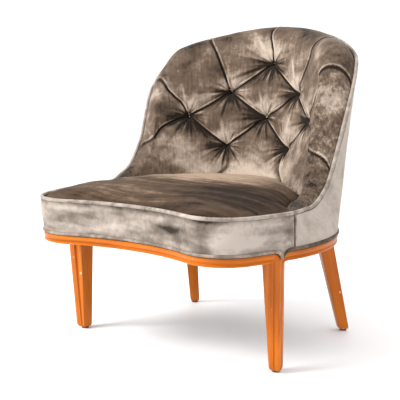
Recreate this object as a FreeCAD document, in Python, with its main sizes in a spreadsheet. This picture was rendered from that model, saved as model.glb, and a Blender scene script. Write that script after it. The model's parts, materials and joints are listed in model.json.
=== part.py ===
import FreeCAD, Part
import os
from math import acos, atan2, ceil, cos, degrees, pi, radians, sin, sqrt, tan

# Slipper chair: show-wood seat frame on four tapered legs, sprung and crowned tight seat,
# and a rounded, deep-tufted barrel back that sweeps down into low arms.
# Origin on the floor under the middle of the chair, +Z up, front towards -Y, in millimetres.

Vector = FreeCAD.Vector
doc = FreeCAD.newDocument("slipper_chair")
sheet = doc.addObject("Spreadsheet::Sheet", "sizes")

# Driving dimensions, lengths in millimetres and angles in degrees.
# Angles round the chair are measured from straight back (+Y) about the centre of the back's round.
drivingSizes = [
    # plan of the seat frame
    ("back_radius", 351), ("round_centre_y", -80), ("side_radius", 938),
    ("lobe_radius", 100), ("lobe_x", 215), ("lobe_y", -245), ("front_radius", 508),
    # seat rails and their joints
    ("rail_bottom", 262), ("moulding_height", 21), ("rail_height", 45), ("rail_thick", 45),
    ("rebate_depth", 12), ("mitre_angle", 108.5), ("notch_depth", 20), ("notch_slope", 61), ("notch_in", 14),
    ("bend_radius", 20),
    ("dowel_diameter", 8), ("dowel_length", 56), ("dowel_drop", 15),
    # legs
    ("leg_width", 40), ("foot_width", 25), ("tenon_width", 28),
    ("front_leg_angle", 107.3), ("front_leg_inset", 41), ("front_leg_turn", 10.5),
    ("front_splay_x", 4), ("front_splay_y", 9), ("bead_radius", 9), ("foot_bead_radius", 5),
    ("back_leg_angle", 41), ("back_leg_inset", 21), ("back_leg_width", 38),
    ("back_splay_x", 29), ("back_splay_y", 63),
    ("glide_diameter", 18), ("glide_height", 4),
    # corner blocks and screws
    ("block_depth", 26), ("block_height", 30), ("block_drop", 8), ("block_span", 9),
    ("screw_diameter", 5), ("screw_length", 52),
    # seat
    ("band_height", 84), ("band_flare", 6), ("cover_thick", 3), ("crown_height", 40),
    ("welt_diameter", 9), ("base_welt_diameter", 7.6), ("soft_clear", 0.4),
    ("edge_roll_depth", 29), ("hessian_thick", 1),
    ("spring_count", 5), ("spring_pitch", 105), ("spring_wire", 3.8),
    ("spring_loop", 40), ("spring_width", 46),
    ("spring_inset", 38), ("clip_width", 16), ("clip_length", 10),
    # back: each key point of the swept edge has an angle, a step out from the frame and a height
    ("arm_height", 364), ("seam_angle", 102.6), ("seam_gap", 6),
    ("edge_top_out", 77), ("edge_top_rise", 407),
    ("shoulder_angle", 44), ("shoulder_out", 53), ("shoulder_rise", 340),
    ("wing_angle", 56), ("wing_out", 30), ("wing_rise", 255),
    ("scoop_angle", 64), ("scoop_out", -5), ("scoop_rise", 108),
    ("elbow_angle", 72), ("elbow_out", -19), ("elbow_rise", 38),
    ("arm_angle", 88), ("arm_out", -28), ("arm_rise", -2),
    ("seam_out", -4),
    # back: thickness of frame, padding and tufted layer
    ("board_thick", 24), ("board_height", 40), ("board_drop", 18), ("stile_half_angle", 3.5),
    ("liner_bottom", 400), ("liner_height", 40), ("strap_count", 4), ("strap_half_angle", 4.2),
    ("padding_low", 118), ("padding_high", 80), ("padding_side_extra", 11), ("padding_arm", 46),
    ("tufted_layer", 24), ("crest_rise", 12),
    # tufts
    ("tuft_top", 687), ("tuft_pitch", 72), ("tuft_angle", 20.5), ("tuft_depth", 17), ("tuft_radius", 13),
    ("pleat_half_width", 7), ("twine_diameter", 2),
    # bottom cloth
    ("cloth_thick", 0.8), ("staple_count", 20), ("staple_length", 10), ("staple_wire", 1.2),
]
for row, (alias, value) in enumerate(drivingSizes, 1):
    sheet.set("A%d" % row, alias)
    sheet.set("B%d" % row, str(value))
    sheet.setAlias("B%d" % row, alias)
doc.recompute()


def size(alias):
    return float(sheet.get(alias))


nodes = {}


def keep(label, item):
    item.Label = label
    nodes[label] = item
    return item


def keepShape(label, shape):
    return keep(label, shapeObject(label + "_form", shape))


def shapeObject(name, shape):
    item = doc.addObject("Part::Feature", name)
    item.Shape = shape
    return item


def bind(item, **expressions):
    for place, expression in expressions.items():
        item.setExpression(place.replace("__", "."), expression)
    return item


# Plan outline of the seat frame
backRadius = size("back_radius")
roundCentre = Vector(0, size("round_centre_y"), 0)
lobeCentre = Vector(size("lobe_x"), size("lobe_y"), 0)
lobeRadius = size("lobe_radius")
sideRadius = size("side_radius")
frontRadius = size("front_radius")


def sideArcCentre():
    # the side arc is tangent inside to the back's round and to the front lobe
    reachBack = sideRadius - backRadius
    reachLobe = sideRadius - lobeRadius
    span = lobeCentre.distanceToPoint(roundCentre)
    along = (reachBack ** 2 - reachLobe ** 2 + span ** 2) / (2 * span)
    across = sqrt(reachBack ** 2 - along ** 2)
    direction = (lobeCentre - roundCentre) / span
    left = Vector(direction.y, -direction.x, 0)
    return roundCentre + direction * along + left * across


sideCentre = sideArcCentre()
frontReach = frontRadius + lobeRadius
frontCentre = Vector(0, lobeCentre.y - sqrt(frontReach ** 2 - lobeCentre.x ** 2), 0)


def bearing(point):
    """Angle round the chair of a point, from straight back towards +X."""
    return degrees(atan2(point.x, point.y - roundCentre.y))


def towards(fromPoint, toPoint):
    return (toPoint - fromPoint).normalize()


backJoint = roundCentre + towards(sideCentre, roundCentre) * backRadius
sideJoint = lobeCentre + towards(sideCentre, lobeCentre) * lobeRadius
frontJoint = lobeCentre + towards(lobeCentre, frontCentre) * lobeRadius


def rayToCircle(angle, centre, radius, far):
    direction = Vector(sin(radians(angle)), cos(radians(angle)), 0)
    offset = centre - roundCentre
    along = offset.dot(direction)
    reach = sqrt(max(radius ** 2 - offset.dot(offset) + along ** 2, 0))
    return along + reach if far else along - reach


def outlineRadius(angle, offset=0):
    """Distance from the round's centre to the frame's outline, moved outwards by offset."""
    angle = abs((angle + 180) % 360 - 180)
    if angle <= bearing(backJoint):
        return backRadius + offset
    if angle <= bearing(sideJoint):
        return rayToCircle(angle, sideCentre, sideRadius + offset, True)
    if angle <= bearing(frontJoint):
        return rayToCircle(angle, lobeCentre, lobeRadius + offset, True)
    return rayToCircle(angle, frontCentre, frontRadius - offset, False)


def polar(angle, radius, height):
    return Vector(radius * sin(radians(angle)), roundCentre.y + radius * cos(radians(angle)), height)


def mirrored(point):
    return Vector(-point.x, point.y, point.z)


def outlineWire(offset, height):
    """Closed outline of tangent arcs, moved outwards by offset, at a height."""
    lift = Vector(0, 0, height)

    def at(centre, through, radius):
        return centre + towards(centre, through) * radius + lift

    frontR = at(frontCentre, frontJoint, frontRadius - offset)
    sideR = at(lobeCentre, sideJoint, lobeRadius + offset)
    backR = at(roundCentre, backJoint, backRadius + offset)
    rear = roundCentre + Vector(0, backRadius + offset, 0) + lift
    nose = frontCentre + Vector(0, frontRadius - offset, 0) + lift
    lobeMid = at(lobeCentre, lobeCentre + towards(lobeCentre, frontCentre) + towards(sideCentre, lobeCentre),
                 lobeRadius + offset)
    sideMid = at(sideCentre, (sideJoint + backJoint) / 2, sideRadius + offset)
    backWay = towards(roundCentre, backJoint) + Vector(0, 1, 0)
    backMid = at(roundCentre, roundCentre + backWay, backRadius + offset)
    edges = [
        Part.Arc(mirrored(frontR), nose, frontR),
        Part.Arc(frontR, lobeMid, sideR),
        Part.Arc(sideR, sideMid, backR),
        Part.Arc(backR, backMid, rear),
        Part.Arc(rear, mirrored(backMid), mirrored(backR)),
        Part.Arc(mirrored(backR), mirrored(sideMid), mirrored(sideR)),
        Part.Arc(mirrored(sideR), mirrored(lobeMid), mirrored(frontR)),
    ]
    return Part.Wire([edge.toShape() for edge in edges])


def outlinePlate(offset, bottom, top):
    return Part.Face(outlineWire(offset, bottom)).extrude(Vector(0, 0, top - bottom))


def sector(fromAngle, toAngle, bottom, top):
    """Wedge of the plan between two angles, used to part a ring into its pieces."""
    reach = 4 * backRadius
    steps = int(ceil((toAngle - fromAngle) / 60.0))
    points = [Vector(roundCentre.x, roundCentre.y, bottom)]
    for step in range(steps + 1):
        points.append(polar(fromAngle + (toAngle - fromAngle) * step / steps, reach, bottom))
    return Part.Face(Part.makePolygon(points + [points[0]])).extrude(Vector(0, 0, top - bottom))


# Heights that several pieces share
railBottom = size("rail_bottom")
mouldingTop = railBottom + size("moulding_height")
railTop = railBottom + size("rail_height")
bandTop = mouldingTop + size("band_height")
softClear = size("soft_clear")
coverThick = size("cover_thick")
baseWeltRadius = size("base_welt_diameter") / 2
weltRadius = size("welt_diameter") / 2
springRadius = size("spring_wire") / 2
springLevel = railTop + 2 * springRadius
hessianBottom = springLevel + springRadius + softClear
deckLevel = hessianBottom + size("hessian_thick") + softClear


# Legs: a tapered square shaft and a tenon that stands in the seat rails
def taperedSquare(name, x, y, turn, topWidth, bottomWidth, splayX, splayY):
    sections = []
    for end, width, dx, dy, level in (
            ("top", topWidth, "0", "0", "sizes.rail_bottom"),
            ("foot", bottomWidth, splayX, splayY, "sizes.glide_height")):
        square = doc.addObject("Part::RegularPolygon", name + "_" + end)
        square.Polygon = 4
        square.Placement.Rotation = FreeCAD.Rotation(Vector(0, 0, 1), 0)
        bind(square, Circumradius="%s / sqrt(2) * 1 mm" % width,
             Placement__Base__x="%s + %s" % (x, dx), Placement__Base__y="%s + %s" % (y, dy),
             Placement__Base__z=level, Placement__Rotation__Angle="45 deg + %s" % turn)
        sections.append(square)
    shaft = doc.addObject("Part::Loft", name + "_shaft")
    shaft.Sections = sections
    shaft.Solid = True
    shaft.Ruled = True
    return shaft


def tenon(name, x, y, turn):
    post = doc.addObject("Part::Prism", name + "_tenon")
    post.Polygon = 4
    post.Placement.Rotation = FreeCAD.Rotation(Vector(0, 0, 1), 0)
    bind(post, Circumradius="sizes.tenon_width / sqrt(2) * 1 mm", Height="sizes.rail_height",
         Placement__Base__x=x, Placement__Base__y=y, Placement__Base__z="sizes.rail_bottom",
         Placement__Rotation__Angle="45 deg + %s" % turn)
    return post


def beadStrip(name, x, y, turn, alongShare, acrossShare, side):
    """Rounded strip down one face of a front leg, beside the outer corner."""
    circles = []
    for end, width, radius, dx, dy, level in (
            ("top", "sizes.leg_width", "sizes.bead_radius", "0", "0", "sizes.rail_bottom"),
            ("foot", "sizes.foot_width", "sizes.foot_bead_radius", side + " * sizes.front_splay_x",
             "sizes.front_splay_y", "sizes.glide_height")):
        reachX = "(%s / 2 - %s * %s)" % (width, alongShare, radius)
        reachY = "(-%s / 2 + %s * %s)" % (width, acrossShare, radius)
        circle = doc.addObject("Part::Circle", name + "_" + end)
        bind(circle, Radius=radius,
             Placement__Base__x="%s + %s + %s * (%s * cos(%s) - %s * sin(%s))"
             % (x, dx, side, reachX, turn, reachY, turn),
             Placement__Base__y="%s + %s + %s * sin(%s) + %s * cos(%s)" % (y, dy, reachX, turn, reachY, turn),
             Placement__Base__z=level)
        circles.append(circle)
    strip = doc.addObject("Part::Loft", name)
    strip.Sections = circles
    strip.Solid = True
    strip.Ruled = True
    return strip


def fused(name, pieces):
    joined = doc.addObject("Part::MultiFuse", name)
    joined.Shapes = pieces
    joined.Refine = True
    return joined


frontTurn = "sizes.front_leg_turn * 1 deg"
frontReachText = "(sizes.back_radius - sizes.front_leg_inset)"
backReachText = "(sizes.back_radius - sizes.back_leg_inset)"
legSolids = {}
for sideName, side in (("left", -1), ("right", 1)):
    sideText = "(%d)" % side
    frontX = "%s * %s * sin(sizes.front_leg_angle * 1 deg)" % (sideText, frontReachText)
    frontY = "sizes.round_centre_y + %s * cos(sizes.front_leg_angle * 1 deg)" % frontReachText
    turnText = "%s * %s" % (sideText, frontTurn)
    name = "front_leg_" + sideName
    parts = [
        taperedSquare(name, frontX, frontY, turnText, "sizes.leg_width", "sizes.foot_width",
                      sideText + " * sizes.front_splay_x", "sizes.front_splay_y"),
        tenon(name, frontX, frontY, turnText),
        beadStrip(name + "_front_bead", frontX, frontY, frontTurn, 1, 0.1, sideText),
        beadStrip(name + "_side_bead", frontX, frontY, frontTurn, 0.1, 1, sideText),
    ]
    legSolids[name] = fused(name + "_whole", parts)
    backX = "%s * %s * sin(sizes.back_leg_angle * 1 deg)" % (sideText, backReachText)
    backY = "sizes.round_centre_y + %s * cos(sizes.back_leg_angle * 1 deg)" % backReachText
    turnText = "%s * -sizes.back_leg_angle * 1 deg" % sideText
    name = "back_leg_" + sideName
    parts = [
        taperedSquare(name, backX, backY, turnText, "sizes.back_leg_width", "sizes.foot_width",
                      sideText + " * sizes.back_splay_x", "sizes.back_splay_y"),
        tenon(name, backX, backY, turnText),
    ]
    legSolids[name] = fused(name + "_whole", parts)
doc.recompute()

# Glides: small round nail-on feet under the legs
for name, whole in legSolids.items():
    foot = doc.getObject(name + "_foot")
    glide = doc.addObject("Part::Cylinder", "glide_of_" + name)
    footName = foot.Name
    bind(glide, Radius="sizes.glide_diameter / 2", Height="sizes.glide_height",
         Placement__Base__x="%s.Placement.Base.x" % footName,
         Placement__Base__y="%s.Placement.Base.y" % footName)
    keep("glide_" + name.replace("_leg", ""), glide)


# Seat rails: a ring with a half-round moulding below a rebated upper part, parted at the joints
def railRing():
    lower = outlinePlate(0, railBottom, mouldingTop)
    upper = outlinePlate(-size("rebate_depth"), mouldingTop, railTop)
    hollow = outlinePlate(-size("rail_thick"), railBottom - 1, railTop + 1)
    return lower.fuse(upper).cut(hollow)


def jointFrame(side):
    """Point of a front joint on the outline, with its outward and its level direction."""
    angle = side * size("mitre_angle")
    outward = polar(angle, 1, 0) - roundCentre
    return polar(angle, outlineRadius(angle), 0), outward, Vector(outward.y, -outward.x, 0)


bendRadius = size("bend_radius")
notchSlope = radians(size("notch_slope"))
notchTip = mouldingTop - size("notch_depth")
bendDrop = bendRadius * (1 - cos(notchSlope))
bendEnd = (size("notch_depth") - bendDrop) / tan(notchSlope)
bendStart = bendEnd + bendRadius * sin(notchSlope)


def notchTool(side):
    """Dip of the cover into the groove where both mouldings turn down a front leg."""
    corner, outward, along = jointFrame(side)
    middle = bendRadius * sin(notchSlope / 2)
    dip = bendRadius * (1 - cos(notchSlope / 2))

    def at(across, height):
        return corner + outward * 3 + along * across + Vector(0, 0, height)

    lowHeight = mouldingTop - bendDrop
    edges = [
        Part.Arc(at(-bendStart, mouldingTop), at(-bendStart + middle, mouldingTop - dip),
                 at(-bendEnd, lowHeight)).toShape(),
        Part.makeLine(at(-bendEnd, lowHeight), at(0, notchTip)),
        Part.makeLine(at(0, notchTip), at(bendEnd, lowHeight)),
        Part.Arc(at(bendEnd, lowHeight), at(bendStart - middle, mouldingTop - dip),
                 at(bendStart, mouldingTop)).toShape(),
        Part.makeLine(at(bendStart, mouldingTop), at(-bendStart, mouldingTop)),
    ]
    return Part.Face(Part.Wire(edges)).extrude(outward * -(size("notch_in") + 3))


ring = railRing()
legTenons = [legSolids[name].Shape for name in legSolids]
mitre = size("mitre_angle")
backJointAngle = size("back_leg_angle")
railSpans = {
    "front_rail": (mitre, 360 - mitre),
    "side_rail_right": (backJointAngle, mitre),
    "back_rail": (-backJointAngle, backJointAngle),
    "side_rail_left": (-mitre, -backJointAngle),
}


def dowelSet():
    """Two dowels across each of the four joints of the rail ring."""
    dowels = []
    for angle in (mitre, -mitre, backJointAngle, -backJointAngle):
        radius = outlineRadius(angle, -(size("rebate_depth") + size("rail_thick")) / 2)
        centre = polar(angle, radius, 0)
        outward = polar(angle, 1, 0) - roundCentre
        along = Vector(outward.y, -outward.x, 0)
        for level in (railTop - size("dowel_drop"), railTop - 2 * size("dowel_drop")):
            start = centre - along * (size("dowel_length") / 2) + Vector(0, 0, level)
            dowels.append(Part.makeCylinder(size("dowel_diameter") / 2, size("dowel_length"), start, along))
    return Part.makeCompound(dowels)


dowels = dowelSet()
notches = [notchTool(side) for side in (-1, 1)]
for label, (fromAngle, toAngle) in railSpans.items():
    span = sector(fromAngle, toAngle, railBottom - 5, railTop + 5)
    rail = ring.common(span)
    for tool in legTenons + notches + [dowels]:
        rail = rail.cut(tool)
    solids = sorted(rail.Solids, key=lambda solid: -solid.Volume)
    keepShape(label, solids[0])
for name, whole in legSolids.items():
    drilled = doc.addObject("Part::Cut", name + "_drilled")
    drilled.Base = whole
    drilled.Tool = shapeObject(name + "_dowel_holes", dowels)
    keep(name, drilled)
keepShape("joint_dowels", dowels)

# Corner blocks glued and screwed behind each joint
blockOuter = -size("rail_thick")
blockTop = railTop - size("block_drop")
blockRing = outlinePlate(blockOuter, blockTop - size("block_height"), blockTop).cut(
    outlinePlate(blockOuter - size("block_depth"), railBottom - 1, railTop + 1))
screws = []
for name, angle in (("front_left", -mitre), ("front_right", mitre),
                    ("back_left", -backJointAngle), ("back_right", backJointAngle)):
    corner = sector(angle - size("block_span"), angle + size("block_span"), railBottom - 5, railTop + 5)
    block = blockRing.common(corner)
    for tool in legTenons:
        block = block.cut(tool)
    level = railTop - size("block_drop") - size("block_height") / 2
    for shift in (-0.72, 0.72):
        screwAngle = angle + shift * size("block_span")
        radius = outlineRadius(screwAngle, blockOuter - size("block_depth"))
        start = polar(screwAngle, radius - 1.5, level)
        outward = polar(screwAngle, 1, 0) - roundCentre
        head = Part.makeCylinder(size("screw_diameter"), 1.5, start, outward)
        shank = Part.makeCylinder(size("screw_diameter") / 2, size("screw_length"), start, outward)
        screws.append(head.fuse(shank))
        for label in ("front_rail", "side_rail_left", "side_rail_right", "back_rail"):
            if nodes[label].Shape.BoundBox.intersect(screws[-1].BoundBox):
                nodes[label].Shape = nodes[label].Shape.cut(screws[-1])
        block = block.cut(screws[-1])
    keepShape("corner_block_" + name, max(block.Solids, key=lambda solid: solid.Volume))
keepShape("block_screws", Part.makeCompound(screws))

# The back's swept edge and its walls
keyPoints = [(0, size("edge_top_out"), size("edge_top_rise"))]
for key in ("shoulder", "wing", "scoop", "elbow", "arm"):
    keyPoints.append((size(key + "_angle"), size(key + "_out"), size(key + "_rise")))
keyPoints.append((size("seam_angle"), size("seam_out"), 0))


def smoothValue(points, angle, column):
    """Smooth curve through key points that never overshoots them."""
    angle = abs(angle)
    gaps = [after[0] - before[0] for before, after in zip(points, points[1:])]
    slopes = [(after[column] - before[column]) / gap for before, after, gap in zip(points, points[1:], gaps)]
    tangents = [0.0]
    for before, after in zip(slopes, slopes[1:]):
        tangents.append(2 * before * after / (before + after) if before * after > 0 else 0.0)
    tangents.append(slopes[-1])
    spot = 0
    while spot < len(gaps) - 1 and angle > points[spot + 1][0]:
        spot += 1
    share = (angle - points[spot][0]) / gaps[spot]
    start = (1 + 2 * share) * (1 - share) ** 2 * points[spot][column]
    start += share * (1 - share) ** 2 * gaps[spot] * tangents[spot]
    end = share ** 2 * (3 - 2 * share) * points[spot + 1][column]
    end += share ** 2 * (share - 1) * gaps[spot] * tangents[spot + 1]
    return start + end


armHeight = size("arm_height")
seamAngle = size("seam_angle")


def edgeHeight(angle):
    return armHeight + smoothValue(keyPoints, angle, 2)


def edgeSteepness(angle):
    """Length of the swept edge per length of its plan, so 1 where the edge is level."""
    rise = edgeHeight(abs(angle) + 0.5) - edgeHeight(max(abs(angle) - 0.5, 0))
    run = radians(1) * outlineRadius(angle)
    return sqrt(1 + (rise / run) ** 2)


def backOuter(angle, height):
    """Outer face of the back: straight up each bearing from the frame to the swept edge."""
    rise = (height - mouldingTop) / (edgeHeight(angle) - mouldingTop)
    return outlineRadius(angle) + smoothValue(keyPoints, angle, 1) * rise


paddingPoints = [
    (0, size("padding_low"), size("padding_high")),
    (2 * size("tuft_angle"), size("padding_low") + size("padding_side_extra"),
     size("padding_high") + size("padding_side_extra")),
    (size("wing_angle") + 4, size("padding_low") - 13, size("padding_high") - 2),
    ((size("elbow_angle") + size("arm_angle")) / 2 - 4,
     size("padding_low") * 0.55, size("padding_high") * 0.66),
    (size("arm_angle") + 2, size("padding_arm"), size("padding_arm") - 2),
    (seamAngle, size("padding_arm") - 2, size("padding_arm") - 4),
]


def crestDepth(angle):
    return min(30, 0.6 * (edgeHeight(angle) - deckLevel))


def paddingFace(angle, height):
    """Inner face of the back before tufting."""
    top = edgeHeight(angle) - crestDepth(angle)
    low = backOuter(angle, deckLevel) - smoothValue(paddingPoints, angle, 1)
    high = backOuter(angle, top) - smoothValue(paddingPoints, angle, 2)
    return low + (high - low) * (height - deckLevel) / (top - deckLevel)


def stations(fromAngle, toAngle, spacing):
    count = max(int(ceil((toAngle - fromAngle) / spacing)), 1)
    return [fromAngle + (toAngle - fromAngle) * step / count for step in range(count + 1)]


def wall(fromAngle, toAngle, section, spacing=6, ruled=False):
    """Solid lofted round the chair through upright sections, each a function of the bearing."""
    wires = [section(angle) for angle in stations(fromAngle, toAngle, spacing)]
    return Part.makeLoft(wires, True, ruled)


def closedPolygon(angle, corners):
    points = [polar(angle, radius, height) for radius, height in corners]
    return Part.makePolygon(points + [points[0]])


def slab(outer, inner, bottom, top):
    """Section between two steps in from the back's outer face and two heights."""
    def section(angle):
        low = bottom(angle) if callable(bottom) else bottom
        high = top(angle) if callable(top) else top
        return closedPolygon(angle, [
            (backOuter(angle, low) - inner, low), (backOuter(angle, high) - inner, high),
            (backOuter(angle, high) - outer, high), (backOuter(angle, low) - outer, low)])
    return section


seamHalf = degrees(size("seam_gap") / outlineRadius(seamAngle))
coverEnd = seamAngle - seamHalf
bandStart = seamAngle + seamHalf
coverBottom = mouldingTop + 2 * baseWeltRadius + softClear
weltRise = 1.8
keepShape("outside_back_cover", wall(-coverEnd, coverEnd, slab(
    0, coverThick, coverBottom,
    lambda angle: edgeHeight(angle) + weltRise - (weltRadius + 5 * softClear) * edgeSteepness(angle))))

# Wooden frame of the back, inside the padding
boardOuter = coverThick + 1
boardInner = boardOuter + size("board_thick")
boardDrop = size("board_drop")
boardHeight = size("board_height")
stileHalf = size("stile_half_angle")
stileAngle = size("back_leg_angle")
topRailEnd = stileAngle + stileHalf + 2.5


def boardTop(angle):
    return edgeHeight(angle) - boardDrop


def boardBottom(angle):
    return max(edgeHeight(angle) - boardDrop - boardHeight, railTop)


def scoopBottom(angle):
    ahead = min(abs(angle) + 6, seamAngle)
    return max(min(edgeHeight(ahead) - boardHeight, boardBottom(angle)), railTop)


def scoopTop(angle):
    return boardTop(angle) - 3 * (edgeSteepness(angle) - 1)


keepShape("back_top_rail", wall(-topRailEnd, topRailEnd, slab(
    boardOuter, boardInner, boardBottom, boardTop), 5, True))
linerBottom = size("liner_bottom")
linerTop = linerBottom + size("liner_height")
keepShape("back_liner_rail", wall(-stileAngle + stileHalf, stileAngle - stileHalf, slab(
    boardOuter, boardInner, linerBottom, linerTop), 5, True))
for sideName, side in (("left", -1), ("right", 1)):
    def sideWall(near, far, section, spacing=4):
        ends = sorted((side * near, side * far))
        return wall(ends[0], ends[1], section, spacing, True)

    stile = sideWall(stileAngle - stileHalf, stileAngle + stileHalf, slab(
        boardOuter, boardInner, railTop, lambda angle: boardBottom(angle) + 2))
    stile = stile.cut(nodes["back_top_rail"].Shape)
    keepShape("back_stile_" + sideName, max(stile.Solids, key=lambda solid: solid.Volume))
    scoopEnd = size("elbow_angle") + 3
    keepShape("scoop_board_" + sideName, sideWall(topRailEnd, scoopEnd, slab(
        boardOuter, boardInner, scoopBottom, scoopTop), 2.5))
    keepShape("arm_board_" + sideName, sideWall(scoopEnd, coverEnd, slab(
        boardOuter, boardInner, railTop, boardTop)))

strapBack = boardInner + softClear
strapFront = strapBack + 1.2
straps = []
strapCount = int(size("strap_count"))
for step in range(strapCount):
    middle = (step - (strapCount - 1) / 2.0) * 2 * (stileAngle - stileHalf) / (strapCount + 0.5)
    straps.append(wall(middle - size("strap_half_angle"), middle + size("strap_half_angle"), slab(
        strapBack, strapFront, linerBottom + 4, lambda angle: boardTop(angle) - 6), 3, True))
keepShape("back_webbing", Part.makeCompound(straps))
hessianFront = strapFront + softClear + size("hessian_thick")
keepShape("back_hessian", wall(-stileAngle, stileAngle, slab(
    strapFront + softClear / 2, hessianFront, linerBottom, lambda angle: boardTop(angle) - 4), 5, True))
stuffingBack = hessianFront + softClear

# Padding of the back and its tufted cover, sewn to it in diamonds
layer = size("tufted_layer")
stuffingEnd = size("elbow_angle") - 2


def layerBack(angle, height):
    """Back of the tufted layer, which fills the whole padding in the arms."""
    share = max(0.0, min(1.0, (stuffingEnd - abs(angle)) / 8.0))
    full = backOuter(angle, height) - stuffingBack
    return full + share * (min(paddingFace(angle, height) + layer, full - 2) - full)


def stuffingSection(angle):
    top = edgeHeight(angle) - crestDepth(angle) - 5
    crown = boardTop(angle) - 1
    gap = 5 * softClear
    return closedPolygon(angle, [
        (layerBack(angle, deckLevel) + gap, deckLevel), (layerBack(angle, top) + gap, top),
        (backOuter(angle, crown) - stuffingBack - 1, crown),
        (backOuter(angle, deckLevel) - stuffingBack - 1, deckLevel)])


paddingStep = 2 * coverEnd / 30
stuffingReach = 8 * paddingStep
keepShape("back_stuffing", wall(-stuffingReach, stuffingReach, stuffingSection, paddingStep / 2))


def crestRise(angle):
    """Rise of the crest above the edge, which dies away at the front ends of the arms."""
    return size("crest_rise") * (0.3 + 0.7 * min(1, (coverEnd - abs(angle)) / 15))


def crestPoints(angle):
    """Radius and height of the start, top and end of the rounded crest."""
    edge = edgeHeight(angle)
    faceTop = edge - crestDepth(angle)
    start = paddingFace(angle, faceTop)
    end = backOuter(angle, edge) - 2 * weltRadius - softClear
    return (start, faceTop), (0.35 * start + 0.65 * end, edge + crestRise(angle)), (end, edge - 1)


def tuftedSection(angle):
    """Inner face, rounded crest and back of the tufted layer."""
    edge = edgeHeight(angle)
    faceTop = edge - crestDepth(angle)
    low = polar(angle, paddingFace(angle, deckLevel), deckLevel)
    start, crest, outer = [polar(angle, radius, height) for radius, height in crestPoints(angle)]
    shelfLevel = boardTop(angle) + 3
    shelf = polar(angle, backOuter(angle, shelfLevel) - 2 * weltRadius, shelfLevel)
    shelfEnd = polar(angle, backOuter(angle, shelfLevel) - stuffingBack + softClear, shelfLevel - 1)
    backTop = polar(angle, layerBack(angle, faceTop - 4), faceTop - 4)
    backLow = polar(angle, layerBack(angle, deckLevel), deckLevel)
    arc = Part.Arc(start, crest, outer).toShape()
    return Part.Wire([Part.makeLine(low, start), arc, Part.makeLine(outer, shelf),
                      Part.makeLine(shelf, shelfEnd), Part.makeLine(shelfEnd, backTop),
                      Part.makeLine(backTop, backLow), Part.makeLine(backLow, low)])


tuftTop = size("tuft_top")
tuftPitch = size("tuft_pitch")
tuftAngle = size("tuft_angle")
tufts = {}
for row, columns in enumerate(((0,), (-1, 1), (-2, 0, 2), (-1, 1))):
    for column in columns:
        tufts[(row, column)] = (column * tuftAngle, tuftTop - row * tuftPitch)


def facePoint(angle, height, depth):
    return polar(angle, paddingFace(angle, height) + depth, height)


def pleatTool(start, startDepth, end, endDepth):
    """Wedge that opens towards the sitter along the fold between two points of the face."""
    half = size("pleat_half_width")
    wires = []
    for (angle, height), depth in ((start, startDepth), (end, endDepth)):
        root = facePoint(angle, height, depth)
        outward = polar(angle, 1, 0) - roundCentre
        run = facePoint(end[0], end[1], endDepth) - facePoint(start[0], start[1], startDepth)
        across = run.cross(outward).normalize()
        mouth = root - outward * (depth + 12)
        wide = half * (depth + 12) / depth
        wires.append(Part.makePolygon([root, mouth + across * wide, mouth - across * wide, root]))
    return Part.makeLoft(wires, True, True)


tuftDepth = size("tuft_depth")
pleatEnd = tuftDepth * 0.35
foldTools = []
for (row, column), (angle, height) in tufts.items():
    for side in (-1, 1):
        below = (row + 1, column + side)
        if below in tufts:
            foldTools.append(pleatTool((angle, height), tuftDepth * 0.8, tufts[below], tuftDepth * 0.8))
    outward = polar(angle, 1, 0) - roundCentre
    mouth = facePoint(angle, height, -10)
    mouthRadius = size("tuft_radius") * (tuftDepth + 10) / tuftDepth
    foldTools.append(Part.makeCone(mouthRadius, 0.5, tuftDepth + 10, mouth, outward))
topPull = edgeHeight(0) - crestDepth(0) - 4
foldTools.append(pleatTool(tufts[(0, 0)], tuftDepth * 0.8, (0, topPull), pleatEnd))
for side in (-1, 1):
    reach = edgeHeight(1.6 * tuftAngle) - crestDepth(1.6 * tuftAngle) - 4
    foldTools.append(pleatTool(tufts[(1, side)], tuftDepth * 0.8, (side * 1.6 * tuftAngle, reach), pleatEnd))
    foldTools.append(pleatTool(tufts[(2, 2 * side)], tuftDepth * 0.8,
                               (side * (2 * tuftAngle + 10), tufts[(2, 0)][1] + 62), pleatEnd))
    foldTools.append(pleatTool(tufts[(3, side)], tuftDepth * 0.8,
                               (side * tuftAngle * 1.1, bandTop + size("crown_height")), pleatEnd))
tufted = wall(-coverEnd, coverEnd, tuftedSection, paddingStep)
wholeVolume = tufted.Volume
for tool in foldTools:
    tufted = tufted.cut(tool)
if len(tufted.Solids) != 1 or tufted.Volume > wholeVolume - 1:
    raise ValueError("the tufted cover was not cut as meant")
keepShape("inside_back_tufted", tufted.Solids[0])


# Tubes: straight runs joined by tangent arcs
def roundedPath(points, radii=None):
    edges = []
    start = points[0]
    for spot in range(1, len(points) - 1):
        corner = points[spot]
        back = points[spot - 1] - corner
        ahead = points[spot + 1] - corner
        shorter = min(back.Length, ahead.Length)
        back.normalize()
        ahead.normalize()
        halfTurn = (pi - acos(max(-1, min(1, back.dot(ahead))))) / 2
        radius = (radii or {}).get(spot, 0.45 * shorter / tan(halfTurn))
        tangent = radius * tan(halfTurn)
        bisector = (back + ahead).normalize()
        middle = corner + bisector * (radius / cos(halfTurn) - radius)
        edges.append(Part.makeLine(start, corner + back * tangent))
        edges.append(Part.Arc(corner + back * tangent, middle, corner + ahead * tangent).toShape())
        start = corner + ahead * tangent
    edges.append(Part.makeLine(start, points[-1]))
    return Part.Wire(edges)


def tube(points, radius, radii=None):
    path = roundedPath(points, radii)
    ring = Part.Wire([Part.Circle(points[0], points[1] - points[0], radius).toShape()])
    solid = path.makePipeShell([ring], True, False)
    meant = pi * radius ** 2 * path.Length
    if abs(solid.Volume / meant - 1) > 0.02:
        raise ValueError("a tube came out with the wrong volume")
    return solid


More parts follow.
